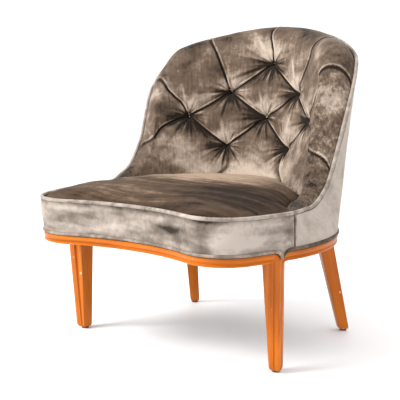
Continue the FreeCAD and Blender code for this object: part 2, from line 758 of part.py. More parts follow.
# Seat front: band, edge roll and welts
def bandFlare(angle):
    """How far the band's top stands out beyond the frame; nothing at the side seams."""
    fromSeam = abs((angle + 180) % 360 - 180) - seamAngle
    share = max(0.0, min(1.0, fromSeam / 18.0))
    return size("band_flare") * share * share * (3 - 2 * share)


def bandSection(angle):
    top = bandTop - weltRadius - softClear
    lowOuter = outlineRadius(angle)
    topOuter = lowOuter + bandFlare(angle)
    return closedPolygon(angle, [(lowOuter - coverThick, coverBottom), (topOuter - coverThick, top),
                                 (topOuter, top), (lowOuter, coverBottom)])


band = wall(bandStart, 360 - bandStart, bandSection, 5)
for side in (-1, 1):
    corner, outward, along = jointFrame(side)
    tipHalf = bendEnd
    tipCorners = [corner + along * tipHalf + Vector(0, 0, coverBottom + 0.5),
                  corner - along * tipHalf + Vector(0, 0, coverBottom + 0.5),
                  corner + Vector(0, 0, mouldingTop - 3)]
    tip = Part.Face(Part.makePolygon(tipCorners + [tipCorners[0]])).extrude(outward * -coverThick)
    band = band.fuse(tip)
keepShape("front_band", band)

rollOuter = -(coverThick + 2 * softClear)
rollBase = railTop + 0.3
rollTop = bandTop - weltRadius
edgeRoll = outlinePlate(rollOuter, rollBase, rollTop).cut(
    outlinePlate(rollOuter - size("edge_roll_depth"), rollBase - 1, rollTop + 1))
keepShape("seat_edge_roll", edgeRoll.common(sector(bandStart, 360 - bandStart, rollBase - 1, rollTop + 1)))

seatWeltPoints = [polar(angle, outlineRadius(angle) + 0.6 * bandFlare(angle), bandTop)
                  for angle in stations(bandStart + 0.3, 359.7 - bandStart, 8)]
keepShape("seat_welt", tube(seatWeltPoints, weltRadius))


def baseWelt(fromAngle, toAngle):
    """Welt on the wood, down into the groove at both ends."""
    gap = baseWeltRadius + 0.1
    tipLevel = notchTip + gap / cos(notchSlope) + 0.1
    level = mouldingTop + gap
    cornerStep = (level - tipLevel) / tan(notchSlope)
    cornerTurn = degrees(cornerStep / outlineRadius(mitre))
    clearTurn = degrees((cornerStep + 2 * bendRadius) / outlineRadius(mitre))

    def at(angle, height):
        return polar(angle, outlineRadius(angle) - 0.5, height)

    near = degrees(0.8 * baseWeltRadius / outlineRadius(mitre))
    points = [at(fromAngle + near, tipLevel + 1.2 * baseWeltRadius), at(fromAngle + cornerTurn, level)]
    points += [at(angle, level) for angle in stations(fromAngle + clearTurn, toAngle - clearTurn, 8)]
    points += [at(toAngle - cornerTurn, level), at(toAngle - near, tipLevel + 1.2 * baseWeltRadius)]
    return tube(points, baseWeltRadius)


keepShape("base_welt_front", baseWelt(mitre, 360 - mitre))
keepShape("base_welt_back", baseWelt(-mitre, mitre))

edgeWeltPoints = [polar(angle, backOuter(angle, edgeHeight(angle)) - 2.5, edgeHeight(angle) + weltRise)
                  for angle in stations(-coverEnd, coverEnd, 5)]
keepShape("back_edge_welt", tube(edgeWeltPoints, weltRadius))

seamWeltRadius = size("seam_gap") * 0.42
for sideName, side in (("left", -1), ("right", 1)):
    pair = []
    for shift in (-0.5, 0.5):
        angle = side * (seamAngle + shift * seamHalf)
        radius = outlineRadius(angle) - 1
        foot = polar(angle, radius, coverBottom + 0.5)
        head = polar(angle, radius + smoothValue(keyPoints, seamAngle, 1) * 0.9, armHeight - weltRadius - 0.5)
        pair.append(Part.makeCylinder(seamWeltRadius, (head - foot).Length, foot, head - foot))
    keepShape("seam_welts_" + sideName, Part.makeCompound(pair))


# Seat: crowned cover on its wadding over a block of stuffing, both shaped to the padding of the back
def crown(bottom, height):
    """Domed solid on the outline of the seat, steep at its edge and nearly flat in the middle."""
    middle = Vector(0, roundCentre.y * 0.6, 0)
    sections = []
    for share in (1, 0.96, 0.88, 0.76, 0.6, 0.42, 0.22):
        level = bottom + height * (1 - share ** 3) ** 0.625
        wire = outlineWire(-weltRadius - softClear, 0)
        wire.scale(share, middle)
        wire.translate(Vector(0, 0, level))
        sections.append(wire)
    return Part.makeLoft(sections, True)


def crestBulge(angle):
    """How far the rounded crest stands in beyond the top of the inner face."""
    start, crest, end = [Vector(radius, height, 0) for radius, height in crestPoints(angle)]
    circle = Part.Arc(start, crest, end).toShape().Curve
    if circle.Center.y <= start.y:
        return 0
    return start.x - (circle.Center.x - circle.Radius)


def seatCutSection(angle):
    faceTop = edgeHeight(angle) - crestDepth(angle)
    above = max(faceTop, bandTop + size("crown_height") + 60)
    reach = outlineRadius(angle) + size("edge_top_out") + 40
    clear = 3 * softClear
    narrow = paddingFace(angle, faceTop) - crestBulge(angle) - clear
    return closedPolygon(angle, [(paddingFace(angle, deckLevel) - clear, deckLevel - 4),
                                 (narrow, faceTop + 0.5), (narrow, above + 1), (reach, above),
                                 (reach, deckLevel - 5)])


backSpace = wall(-coverEnd - 0.5, coverEnd + 0.5, seatCutSection, paddingStep)
coverBase = bandTop - weltRadius + softClear
seatCover = crown(coverBase, size("crown_height") + weltRadius - softClear).cut(backSpace)
keepShape("seat_crowned_cover", max(seatCover.Solids, key=lambda solid: solid.Volume))
stuffing = outlinePlate(rollOuter - size("edge_roll_depth") - softClear, deckLevel, rollTop).cut(backSpace)
keepShape("seat_stuffing", max(stuffing.Solids, key=lambda solid: solid.Volume))


# Springs: sinuous wires from the front rail to the back rail, in clips, with cross ties
def frontLine(x, inset):
    if abs(x) < frontJoint.x:
        return frontCentre.y + sqrt((frontRadius + inset) ** 2 - x ** 2)
    return lobeCentre.y - sqrt((lobeRadius - inset) ** 2 - (abs(x) - lobeCentre.x) ** 2)


springs = []
clips = []
clipLength = size("clip_length")
for step in range(int(size("spring_count"))):
    x = (step - (size("spring_count") - 1) / 2) * size("spring_pitch")
    frontEnd = frontLine(x, size("spring_inset"))
    backEnd = roundCentre.y + sqrt((backRadius - size("spring_inset")) ** 2 - x ** 2)
    firstTurn = frontEnd + 1.5 * clipLength
    lastTurn = backEnd - 1.5 * clipLength
    turns = int(round((lastTurn - firstTurn) / size("spring_loop")))
    points = [Vector(x, frontEnd, springLevel), Vector(x, firstTurn, springLevel)]
    for turn in range(turns):
        swing = size("spring_width") / 2 * (1 if turn % 2 else -1)
        points.append(Vector(x + swing, firstTurn + (turn + 0.5) * (lastTurn - firstTurn) / turns, springLevel))
    points += [Vector(x, lastTurn, springLevel), Vector(x, backEnd, springLevel)]
    springs.append(tube(points, springRadius))
    for end, direction in ((frontEnd, 1), (backEnd, -1)):
        corner = Vector(x - size("clip_width") / 2, min(end, end + direction * clipLength), railTop)
        saddle = Part.makeBox(size("clip_width"), clipLength, springLevel - railTop, corner)
        grooveStart = Vector(x, end - 2 * clipLength, springLevel)
        groove = Part.makeCylinder(springRadius + 0.1, 4 * clipLength, grooveStart, Vector(0, 1, 0))
        clips.append(saddle.cut(groove))
keepShape("seat_springs", Part.makeCompound(springs))
keepShape("spring_clips", Part.makeCompound(clips))
tieRadius = 1.5
tieReach = size("spring_pitch") * (size("spring_count") - 1) / 2 + size("spring_width") / 2
tieLevel = springLevel - springRadius - tieRadius - 0.1
ties = [Part.makeCylinder(tieRadius, 2 * tieReach, Vector(-tieReach, y, tieLevel), Vector(1, 0, 0))
        for y in (-0.4 * backRadius, 0.1 * backRadius)]
keepShape("spring_ties", Part.makeCompound(ties))
hessian = outlinePlate(rollOuter - size("edge_roll_depth") - 2 * softClear, hessianBottom,
                       hessianBottom + size("hessian_thick"))
for sideName in ("left", "right"):
    hessian = hessian.cut(nodes["arm_board_" + sideName].Shape).cut(nodes["back_stile_" + sideName].Shape)
keepShape("seat_hessian", max(hessian.Solids, key=lambda solid: solid.Volume))

# Twines that hold the tufts down
twines = []
for angle, height in tufts.values():
    outward = polar(angle, 1, 0) - roundCentre
    start = facePoint(angle, height, tuftDepth - 1)
    reach = backOuter(angle, height) - boardInner - (paddingFace(angle, height) + tuftDepth - 1)
    twines.append(Part.makeCylinder(size("twine_diameter") / 2, reach, start, outward))
twineSet = Part.makeCompound(twines)
for label in ("inside_back_tufted", "back_stuffing", "back_hessian", "back_webbing"):
    nodes[label].Shape = nodes[label].Shape.cut(twineSet)
keepShape("tuft_twines", twineSet)

# Bottom cloth and its staples
clothInset = 0.67 * size("rail_thick")
cloth = outlinePlate(-clothInset, railBottom - size("cloth_thick"), railBottom)
for name in legSolids:
    cloth = cloth.cut(legSolids[name].Shape)
staples = []
wire = size("staple_wire")
stapleLength = size("staple_length")
cloth = max(cloth.Solids, key=lambda solid: solid.Volume)
for step in range(int(size("staple_count"))):
    angle = (step + 0.5) * 360 / size("staple_count")
    away = [abs((angle - legAngle + 180) % 360 - 180)
            for legAngle in (mitre, -mitre, backJointAngle, -backJointAngle)]
    if min(away) < 8:
        continue
    centre = polar(angle, outlineRadius(angle, -clothInset) - 4, railBottom - size("cloth_thick"))
    crossbar = Part.makeBox(stapleLength, wire, wire, Vector(-stapleLength / 2, -wire / 2, -wire))
    for foot in (-stapleLength / 2, stapleLength / 2 - wire):
        crossbar = crossbar.fuse(Part.makeBox(wire, wire, 7, Vector(foot, -wire / 2, -wire)))
    crossbar.rotate(Vector(0, 0, 0), Vector(0, 0, 1), -angle)
    crossbar.translate(centre)
    staples.append(crossbar)
stapleSet = Part.makeCompound(staples)
for label in railSpans:
    nodes[label].Shape = nodes[label].Shape.cut(stapleSet)
keepShape("bottom_cloth", cloth.cut(stapleSet))
keepShape("cloth_staples", stapleSet)

doc.recompute()
for item in doc.Objects:
    if "Invalid" in item.State or "Error" in item.State:
        raise ValueError("failed object: " + item.Name)
for label, item in nodes.items():
    if item.Shape.isNull() or not item.Shape.isValid() or not item.Shape.Solids:
        raise ValueError("bad shape: " + label)
os.makedirs("parts", exist_ok=True)
for label, item in nodes.items():
    item.Shape.exportStep("parts/%s.step" % label)
    box = item.Shape.optimalBoundingBox()
    print("%-24s %2d solids %9.1f cm3  x %.0f..%.0f  y %.0f..%.0f  z %.0f..%.0f" % (
        label, len(item.Shape.Solids), item.Shape.Volume / 1000, box.XMin, box.XMax, box.YMin, box.YMax,
        box.ZMin, box.ZMax))
print(len(nodes), "nodes")
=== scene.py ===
import json
import math
import bpy
import numpy as np
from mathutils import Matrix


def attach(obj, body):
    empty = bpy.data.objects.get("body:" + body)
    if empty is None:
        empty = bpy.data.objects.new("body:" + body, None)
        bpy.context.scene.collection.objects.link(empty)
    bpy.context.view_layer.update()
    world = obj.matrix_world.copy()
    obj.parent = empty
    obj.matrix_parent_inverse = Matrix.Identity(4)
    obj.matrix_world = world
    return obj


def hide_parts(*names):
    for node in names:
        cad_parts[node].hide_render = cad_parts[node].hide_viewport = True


# Slipper chair: moulded show-wood rail on tapered legs, crowned seat and a tufted barrel back.
# Metres, floor at zero, front towards -Y. Bearings are degrees round the back's centre from +Y.
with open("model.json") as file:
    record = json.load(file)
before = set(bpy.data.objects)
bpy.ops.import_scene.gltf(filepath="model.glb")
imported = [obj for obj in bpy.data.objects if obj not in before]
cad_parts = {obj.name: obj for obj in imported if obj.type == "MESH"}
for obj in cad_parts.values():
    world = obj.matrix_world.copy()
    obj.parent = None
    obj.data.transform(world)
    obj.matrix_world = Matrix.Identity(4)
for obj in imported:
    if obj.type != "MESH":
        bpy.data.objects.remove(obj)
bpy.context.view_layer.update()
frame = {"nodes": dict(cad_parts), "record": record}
print("frame loaded with", len(frame["nodes"]), "nodes")

cameraView = {
    "place": (1.5158, -1.9983, 0.7127), "down": 8.31, "yaw": 38.0, "lens": 90.38, "sensor": 36, "far": 60}
bpy.ops.object.camera_add(
    location=cameraView["place"],
    rotation=(math.radians(90 - cameraView["down"]), 0, math.radians(cameraView["yaw"])))
camera = bpy.context.object
camera.data.lens = cameraView["lens"]
camera.data.sensor_width = cameraView["sensor"]
camera.data.clip_end = cameraView["far"]
bpy.context.scene.camera = camera
print("camera placed")

# plan of the frame and sweep of the back, as the frame has them
plan = {
    "backRadius": 0.351, "centreY": -0.080, "sideRadius": 0.938,
    "lobeRadius": 0.100, "lobe": (0.215, -0.245), "frontRadius": 0.508,
}
levels = {
    "railBottom": 0.262, "mouldingTop": 0.283, "railTop": 0.307, "bandTop": 0.367,
    "arm": 0.364, "deck": 0.3145,
}
# bearing, step out from the frame's outline, rise above the arm
sweepPoints = np.array([
    (0, 0.077, 0.407), (44, 0.053, 0.340), (56, 0.030, 0.255), (64, -0.005, 0.108),
    (72, -0.019, 0.038), (88, -0.028, -0.002), (102.6, -0.004, 0)])
# bearing, thickness of the padding low down and at its top
paddingPoints = np.array([
    (0, 0.118, 0.080), (41, 0.129, 0.091), (60, 0.105, 0.078), (76, 0.065, 0.053),
    (90, 0.046, 0.044), (102.6, 0.044, 0.042)])
seamBearing = 102.6  # seam between the arm and the front band
coverEnd = 101.62
bandStart = 103.58
mitreBearing = 108.5  # outer corner of a front leg
weltRadius = 0.0045
baseWeltRadius = 0.0038
sides = {"left": -1, "right": 1}

roundCentre = np.array([0, plan["centreY"]])
lobeCentre = np.array(plan["lobe"])
heart = np.array([0, plan["centreY"], 0.3])  # spot inside the chair that outer faces turn away from


def unit(vector):
    return vector / np.linalg.norm(vector, axis=-1, keepdims=True)


def bell(value, centre, width):
    return np.exp(-((value - centre) / width) ** 2)


def ease(value):
    value = np.clip(value, 0, 1)
    return value * value * (3 - 2 * value)


def mix(first, last, share):
    return first + (last - first) * share


def folded(bearing):
    # the same place on the right half, 0 at the back to 180 in front
    return np.abs((np.asarray(bearing, float) + 180) % 360 - 180)


def sideArcCentre():
    reachBack = plan["sideRadius"] - plan["backRadius"]
    reachLobe = plan["sideRadius"] - plan["lobeRadius"]
    span = np.linalg.norm(lobeCentre - roundCentre)
    along = (reachBack ** 2 - reachLobe ** 2 + span ** 2) / (2 * span)
    across = math.sqrt(reachBack ** 2 - along ** 2)
    direction = (lobeCentre - roundCentre) / span
    return roundCentre + direction * along + np.array([direction[1], -direction[0]]) * across


def bearingOf(point):
    return math.degrees(math.atan2(point[0], point[1] - roundCentre[1]))


sideCentre = sideArcCentre()
frontReach = plan["frontRadius"] + plan["lobeRadius"]
frontCentre = np.array([0, lobeCentre[1] - math.sqrt(frontReach ** 2 - lobeCentre[0] ** 2)])
backJoint = bearingOf(roundCentre + unit(roundCentre - sideCentre) * plan["backRadius"])
sideJoint = bearingOf(lobeCentre + unit(lobeCentre - sideCentre) * plan["lobeRadius"])
frontJoint = bearingOf(lobeCentre + unit(frontCentre - lobeCentre) * plan["lobeRadius"])


def rayToCircle(bearing, centre, radius, sign):
    direction = np.stack([np.sin(np.radians(bearing)), np.cos(np.radians(bearing))], -1)
    offset = centre - roundCentre
    along = direction @ offset
    return along + sign * np.sqrt(np.maximum(radius ** 2 - offset @ offset + along ** 2, 0))


def outlineRadius(bearing, offset=0.0):
    b = folded(bearing)
    return np.select(
        [b <= backJoint, b <= sideJoint, b <= frontJoint],
        [plan["backRadius"] + offset,
         rayToCircle(b, sideCentre, plan["sideRadius"] + offset, 1),
         rayToCircle(b, lobeCentre, plan["lobeRadius"] + offset, 1)],
        rayToCircle(b, frontCentre, plan["frontRadius"] - offset, -1))


def polar(bearing, radius, height):
    bearing, radius, height = np.broadcast_arrays(bearing, radius, height)
    return np.stack([radius * np.sin(np.radians(bearing)),
                     plan["centreY"] + radius * np.cos(np.radians(bearing)), height], -1)


def poleRow(height, count):
    # one spot on the middle line, repeated to close a grid there
    return np.repeat(polar(0.0, 0.0, height)[None, None], count, 1)


def smoothValue(points, bearing, column):
    # smooth curve through the points that never overshoots them
    x, y = points[:, 0], points[:, column]
    gap = np.diff(x)
    slope = np.diff(y) / gap
    tangent = np.zeros(len(x))
    tangent[-1] = slope[-1]
    for spot in range(1, len(slope)):
        before, after = slope[spot - 1], slope[spot]
        tangent[spot] = 2 * before * after / (before + after) if before * after > 0 else 0
    b = np.minimum(np.abs(bearing), x[-1])
    k = np.clip(np.searchsorted(x, b, side="right") - 1, 0, len(gap) - 1)
    t = (b - x[k]) / gap[k]
    return ((1 + 2 * t) * (1 - t) ** 2 * y[k] + t * (1 - t) ** 2 * gap[k] * tangent[k]
            + t ** 2 * (3 - 2 * t) * y[k + 1] + t ** 2 * (t - 1) * gap[k] * tangent[k + 1])


def edgeHeight(bearing):
    return levels["arm"] + smoothValue(sweepPoints, bearing, 2)


def backOuter(bearing, height):
    rise = (height - levels["mouldingTop"]) / (edgeHeight(bearing) - levels["mouldingTop"])
    return outlineRadius(bearing) + smoothValue(sweepPoints, bearing, 1) * rise


# rounded top of the padding: its depth and rise, and the fuller shoulders at a bearing
crest = {"depth": 0.030, "lowShare": 0.6, "rise": 0.012, "armShare": 0.3, "fade": 16, "weltGap": 0.0094,
         "shoulder": 0.009, "shoulderAt": 41, "shoulderWidth": 15, "rightAt": 48, "rightWidth": 11}


def crestDepth(bearing):
    return np.minimum(crest["depth"], crest["lowShare"] * (edgeHeight(bearing) - levels["deck"]))


def paddingFace(bearing, height):
    top = edgeHeight(bearing) - crestDepth(bearing)
    low = backOuter(bearing, levels["deck"]) - smoothValue(paddingPoints, bearing, 1)
    high = backOuter(bearing, top) - smoothValue(paddingPoints, bearing, 2)
    return low + (high - low) * (height - levels["deck"]) / (top - levels["deck"])  # straight between them


# mesh helpers
mergeDistance = 0.00001


def lengthsAlong(spots, axis):
    step = np.linalg.norm(np.diff(spots, axis=axis), axis=-1)
    zero = np.zeros_like(np.take(step, [0], axis=axis))
    return np.concatenate([zero, np.cumsum(step, axis=axis)], axis=axis)


def gridNormals(spots):
    return unit(np.cross(np.gradient(spots, axis=1), np.gradient(spots, axis=0)) + 1e-12)


def gridPiece(name, spots, smooth=40, closed=True, along=None, around=None, **marks):
    # a grid primitive whose corners are moved to the rows and columns of spots
    rows, columns = spots.shape[0] - 1, spots.shape[1] - 1
    bpy.ops.object.select_all(action="DESELECT")
    bpy.ops.mesh.primitive_grid_add(x_subdivisions=columns, y_subdivisions=rows, size=1)
    piece = bpy.context.object
    piece.name = name
    mesh = piece.data
    flat = np.empty(len(mesh.vertices) * 3)
    mesh.vertices.foreach_get("co", flat)
    flat = flat.reshape(-1, 3)
    column = np.rint((flat[:, 0] + 0.5) * columns).astype(int)
    row = np.rint((flat[:, 1] + 0.5) * rows).astype(int)
    mesh.vertices.foreach_set("co", spots[row, column].astype(np.float32).ravel())
    corner = np.empty(len(mesh.loops), int)
    mesh.loops.foreach_get("vertex_index", corner)
    lengths = (lengthsAlong(spots, 1) if along is None else along,
               lengthsAlong(spots, 0) if around is None else around)
    uv = np.stack([length[row, column][corner] for length in lengths], -1)
    mesh.uv_layers[0].data.foreach_set("uv", uv.astype(np.float32).ravel())
    for mark, values in marks.items():
        layer = mesh.attributes.new(mark, "FLOAT", "POINT")
        layer.data.foreach_set("value", values[row, column].astype(np.float32))
    mesh.update()
    if closed:
        mergeShell(fill=True)
    bpy.ops.object.shade_smooth_by_angle(angle=math.radians(smooth))
    return piece


def mergeShell(fill):
    bpy.ops.object.mode_set(mode="EDIT")
    bpy.ops.mesh.select_all(action="SELECT")
    bpy.ops.mesh.remove_doubles(threshold=mergeDistance)
    if fill:
        bpy.ops.mesh.fill_holes(sides=0)
        bpy.ops.mesh.select_all(action="SELECT")
    bpy.ops.mesh.normals_make_consistent(inside=False)
    bpy.ops.object.mode_set(mode="OBJECT")


def clothPiece(name, spots, thickness, **marks):
    # open cloth faces away from the heart, gets its thickness inwards, then its rim closes
    piece = gridPiece(name, spots, closed=False, **marks)
    mergeShell(fill=False)
    if sum((np.array(face.center) - heart) @ np.array(face.normal) for face in piece.data.polygons) < 0:
        piece.data.flip_normals()
    solid = piece.modifiers.new("thickness", "SOLIDIFY")
    solid.thickness = thickness
    solid.offset = -1
    bpy.ops.object.modifier_apply(modifier=solid.name)
    bpy.ops.object.shade_smooth_by_angle(angle=math.radians(50))
    return piece


def joined(pieces):
    bpy.ops.object.select_all(action="DESELECT")
    for piece in pieces:
        piece.select_set(True)
    bpy.context.view_layer.objects.active = pieces[0]
    bpy.ops.object.join()
    return pieces[0]


def tubePiece(name, points, radius, turns=14, toneAndShade=0.0):
    # round welt along points
    outward = unit((points - heart) * np.array([1, 1, 0]))
    tangent = unit(np.gradient(points, axis=0))
    side = unit(outward - tangent * (outward * tangent).sum(-1, keepdims=True))
    up = np.cross(tangent, side)
    turn = np.linspace(0, 2 * math.pi, turns + 1)[:, None, None]
    spots = points[None] + radius * (np.cos(turn) * side[None] + np.sin(turn) * up[None])
    return gridPiece(name, spots, pile=np.full(spots.shape[:2], toneAndShade))


def finishPiece(piece, slotName, *nodes, fill=None):
    piece.data.materials.clear()
    piece.data.materials.append(finishes[slotName])
    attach(piece, "root")
    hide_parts(*nodes)


# materials, kept by the record's slot names
class Link:
    # a socket that can be used in sums; an expression adds its Math nodes
    def __init__(self, finish, socket):
        self.finish = finish
        self.socket = socket

    def math(self, operation, first, second):
        return self.finish.node("ShaderNodeMath", {"operation": operation}, {0: first, 1: second})

    def __add__(self, other):
        return self.math("ADD", self, other)

    def __radd__(self, other):
        return self.math("ADD", other, self)

    def __sub__(self, other):
        return self.math("SUBTRACT", self, other)

    def __rsub__(self, other):
        return self.math("SUBTRACT", other, self)

    def __mul__(self, other):
        return self.math("MULTIPLY", self, other)

    def __rmul__(self, other):
        return self.math("MULTIPLY", other, self)


class Finish:
    # one material and the means to add nodes to it
    def __init__(self, name):
        self.material = bpy.data.materials.new(name)
        self.material.use_nodes = True
        self.tree = self.material.node_tree
        self.shader = self.tree.nodes["Principled BSDF"]

    def plug(self, socket, value):
        if isinstance(value, Link):
            self.tree.links.new(value.socket, socket)
        else:
            socket.default_value = value

    def node(self, kind, settings=None, inputs=None, output=0):
        made = self.tree.nodes.new(kind)
        for key, value in (settings or {}).items():
            setattr(made, key, value)
        for key, value in (inputs or {}).items():
            self.plug(made.inputs[key], value)
        return Link(self, made.outputs[output])

    def blend(self, factor, first, second):
        return self.node("ShaderNodeMix", {"data_type": "RGBA"}, {0: factor, 6: first, 7: second}, 2)

    def place(self):
        return self.node("ShaderNodeTexCoord", output=3)

    def grain(self):
        return self.node("ShaderNodeUVMap", {"uv_map": "UVMap"})

    def scaled(self, vector, scale):
        return self.node("ShaderNodeVectorMath", {"operation": "MULTIPLY"}, {0: vector, 1: scale})

    def noise(self, vector, scale, detail=3, rough=0.55, warp=0.0):
        return self.node("ShaderNodeTexNoise", None, {
            "Vector": vector, "Scale": scale, "Detail": detail, "Roughness": rough, "Distortion": warp})

    def mark(self, name):
        return self.node("ShaderNodeAttribute", {"attribute_name": name}, output=2)

    def between(self, value, low, high):
        # 0 at low, 1 at high, held outside
        return self.node("ShaderNodeMapRange", None, {0: value, 1: low, 2: high})

    def bump(self, height, distance, strength=1.0, under=None):
        inputs = {"Height": height, "Distance": distance, "Strength": strength}
        if under is not None:
            inputs["Normal"] = under
        return self.node("ShaderNodeBump", None, inputs)

    def set(self, **values):
        for name, value in values.items():
            self.plug(self.shader.inputs[name.replace("_", " ")], value)


woodLook = {
    "light": (0.62, 0.170, 0.007, 1), "dark": (0.27, 0.052, 0.002, 1), "pore": (0.11, 0.018, 0.001, 1),
    "chip": (0.62, 0.45, 0.27, 1), "figureScale": (2.6, 60, 1), "fineScale": (9, 620, 1),
    "poreScale": (38, 900, 1), "chipScale": 46.0, "rough": 0.34, "coat": 0.28, "coatRough": 0.08,
    "specular": 0.08, "relief": 0.00018,
}


def showWood():
    f = Finish("honey_wood")
    uv = f.grain()
    figure = f.noise(f.scaled(uv, woodLook["figureScale"]), 1.0, 4, 0.6, 0.8)
    fine = f.noise(f.scaled(uv, woodLook["fineScale"]), 1.0, 3, 0.6)
    pores = f.between(f.noise(f.scaled(uv, woodLook["poreScale"]), 1.0, 2, 0.5), 0.66, 0.74)
    cloudy = f.noise(f.place(), 7.0, 2)
    tone = f.between(figure * 0.6 + fine * 0.25 + cloudy * 0.25, 0.36, 0.72)
    colour = f.blend(tone, woodLook["dark"], woodLook["light"])
    colour = f.blend(pores * 0.35, colour, woodLook["pore"])
    chip = f.between(f.noise(f.place(), woodLook["chipScale"], 2, 0.4), 0.735, 0.75)
    f.set(Base_Color=f.blend(chip * 0.8, colour, woodLook["chip"]),
          Roughness=woodLook["rough"] + fine * 0.12 + chip * 0.3, Coat_Weight=woodLook["coat"],
          Coat_Roughness=woodLook["coatRough"], Specular_IOR_Level=woodLook["specular"],
          Normal=f.bump(fine * 0.6 - pores * 0.5 - chip * 2.0, woodLook["relief"], 0.6))
    return f.material


def plainWood():
    f = Finish("frame_wood")
    spread = f.scaled(f.place(), (34, 34, 5))
    figure = f.noise(spread, 1.0, 4, 0.6, 0.6)
    fine = f.noise(spread, 9.0, 3)
    tone = f.between(figure * 0.7 + fine * 0.3, 0.35, 0.65)
    f.set(Base_Color=f.blend(tone, (0.44, 0.30, 0.17, 1), (0.68, 0.52, 0.34, 1)),
          Roughness=0.55 + fine * 0.2, Normal=f.bump(fine, 0.0003, 0.5))
    return f.material


pileLook = {
    "crushScale": (26, 26, 34), "mottleScale": (150, 150, 95), "fibreScale": 900.0, "patchTone": 1.5,
    "crushTone": 0.7, "fibreTone": 0.3, "mottleTone": 0.3, "wornTone": 1.1, "rough": 0.72, "specular": 0.12,
    "sheenRough": 0.38, "sheenTint": (0.92, 0.84, 0.76, 1), "dent": 0.0016, "nap": 0.0004,
}
# pale, middle and dark colour, overall tone offset, stretch of its brushed patches, sheen
# one velvet given its own palette and offset on each part as painted shade and painted sheen: darker on the
# seat, which faces up, paler on the outside back and band
velvets = {
    "velvet_back": ((0.43, 0.350, 0.285, 1), (0.120, 0.082, 0.057, 1), (0.012, 0.0072, 0.0045, 1), 0.62,
                    (9, 9, 14), 0.16),
    "velvet_seat": ((0.31, 0.225, 0.160, 1), (0.070, 0.042, 0.025, 1), (0.013, 0.006, 0.0028, 1), 0.30,
                    (4, 44, 20), 0.03),
    "velvet_band": ((0.42, 0.36, 0.315, 1), (0.17, 0.139, 0.113, 1), (0.022, 0.015, 0.010, 1), 0.63,
                    (11, 11, 15), 0.16),
    "velvet_outside": ((0.41, 0.352, 0.305, 1), (0.20, 0.165, 0.14, 1), (0.04, 0.03, 0.022, 1), 0.96,
                       (7, 7, 10), 0.16),
    "velvet_welt": ((0.41, 0.352, 0.305, 1), (0.16, 0.13, 0.105, 1), (0.03, 0.022, 0.016, 1), 0.74,
                    (30, 30, 30), 0.16),
}


def velvet(name, pale, middle, dark, toneAndShade, streak, sheen):
    f = Finish(name)
    place = f.place()
    patches = f.noise(f.scaled(place, streak), 1.0, 4, 0.62, 0.35)
    crushed = f.noise(f.scaled(place, pileLook["crushScale"]), 1.0, 5, 0.7, 0.6)
    mottle = f.noise(f.scaled(place, pileLook["mottleScale"]), 1.0, 4, 0.7, 0.5)
    fibres = f.noise(place, pileLook["fibreScale"], 2, 0.6)
    # tone: the part's painted shade offset and the painted shade and highlights carried in the mesh mark,
    # plus random patches, crush, fibres and worn mottle
    tone = (toneAndShade + f.mark("pile") + (patches - 0.5) * pileLook["patchTone"]
            + (crushed - 0.5) * pileLook["crushTone"] + (fibres - 0.5) * pileLook["fibreTone"]
            + (mottle - 0.5) * (f.mark("crushed") * pileLook["wornTone"] + pileLook["mottleTone"]))
    colour = f.blend(f.between(tone, 0.0, 0.5), dark, middle)
    colour = f.blend(f.between(tone, 0.5, 1.05), colour, pale)
    under = f.bump(crushed * 0.5 + patches * 0.6, pileLook["dent"], 0.35)
    f.set(Base_Color=colour, Roughness=pileLook["rough"] + fibres * 0.12,
          Specular_IOR_Level=pileLook["specular"], Sheen_Weight=sheen,
          Sheen_Roughness=pileLook["sheenRough"], Sheen_Tint=pileLook["sheenTint"],
          Normal=f.bump(fibres, pileLook["nap"], 0.5, under))
    return f.material


def weave(name, light, dark, pitch, coarse=0.0008):
    f = Finish(name)
    place = f.place()
    over, up = [f.node("ShaderNodeTexWave", {"bands_direction": way},
                       {"Vector": place, "Scale": pitch, "Distortion": 1.2}) for way in "XZ"]
    fuzz = f.noise(place, 240.0, 3)
    height = over * up + fuzz * 0.4
    f.set(Base_Color=f.blend(f.between(height, 0.1, 0.9), dark, light), Roughness=0.85 + fuzz * 0.1,
          Specular_IOR_Level=0.2, Normal=f.bump(height, coarse, 0.8))
    return f.material


def metal(name, colour, rough):
    f = Finish(name)
    scratch = f.noise(f.scaled(f.place(), (900, 900, 90)), 1.0, 3)
    f.set(Base_Color=f.blend(scratch, tuple(c * 0.75 for c in colour) + (1,), colour + (1,)), Metallic=1.0,
          Roughness=rough + scratch * 0.15, Normal=f.bump(scratch, 0.0001, 0.4))
    return f.material


def glideFinish():
    f = Finish("dark_glide")
    speck = f.noise(f.place(), 420.0, 3)
    f.set(Base_Color=f.blend(speck, (0.02, 0.018, 0.016, 1), (0.07, 0.06, 0.05, 1)),
          Roughness=0.45 + speck * 0.3, Normal=f.bump(speck, 0.0002, 0.5))
    return f.material


finishes = {
    "show_wood": showWood(), "frame_wood": plainWood(), "glides": glideFinish(),
    "hessian": weave("hessian", (0.62, 0.48, 0.30, 1), (0.30, 0.21, 0.11, 1), 150),
    "webbing": weave("webbing", (0.55, 0.44, 0.28, 1), (0.22, 0.15, 0.09, 1), 110),
    "bottom_cloth": weave("bottom_cloth", (0.035, 0.035, 0.036, 1), (0.008, 0.008, 0.008, 1), 400, 0.0002),
    "twine": weave("twine", (0.70, 0.60, 0.42, 1), (0.42, 0.33, 0.2, 1), 500, 0.0003),
    "spring_steel": metal("spring_steel", (0.20, 0.19, 0.18), 0.35),
    "screw_steel": metal("bright_steel", (0.62, 0.60, 0.57), 0.28),
}
finishes["clip_steel"] = finishes["screw_steel"]
finishes.update({name: velvet(name, *look) for name, look in velvets.items()})
print("materials made")

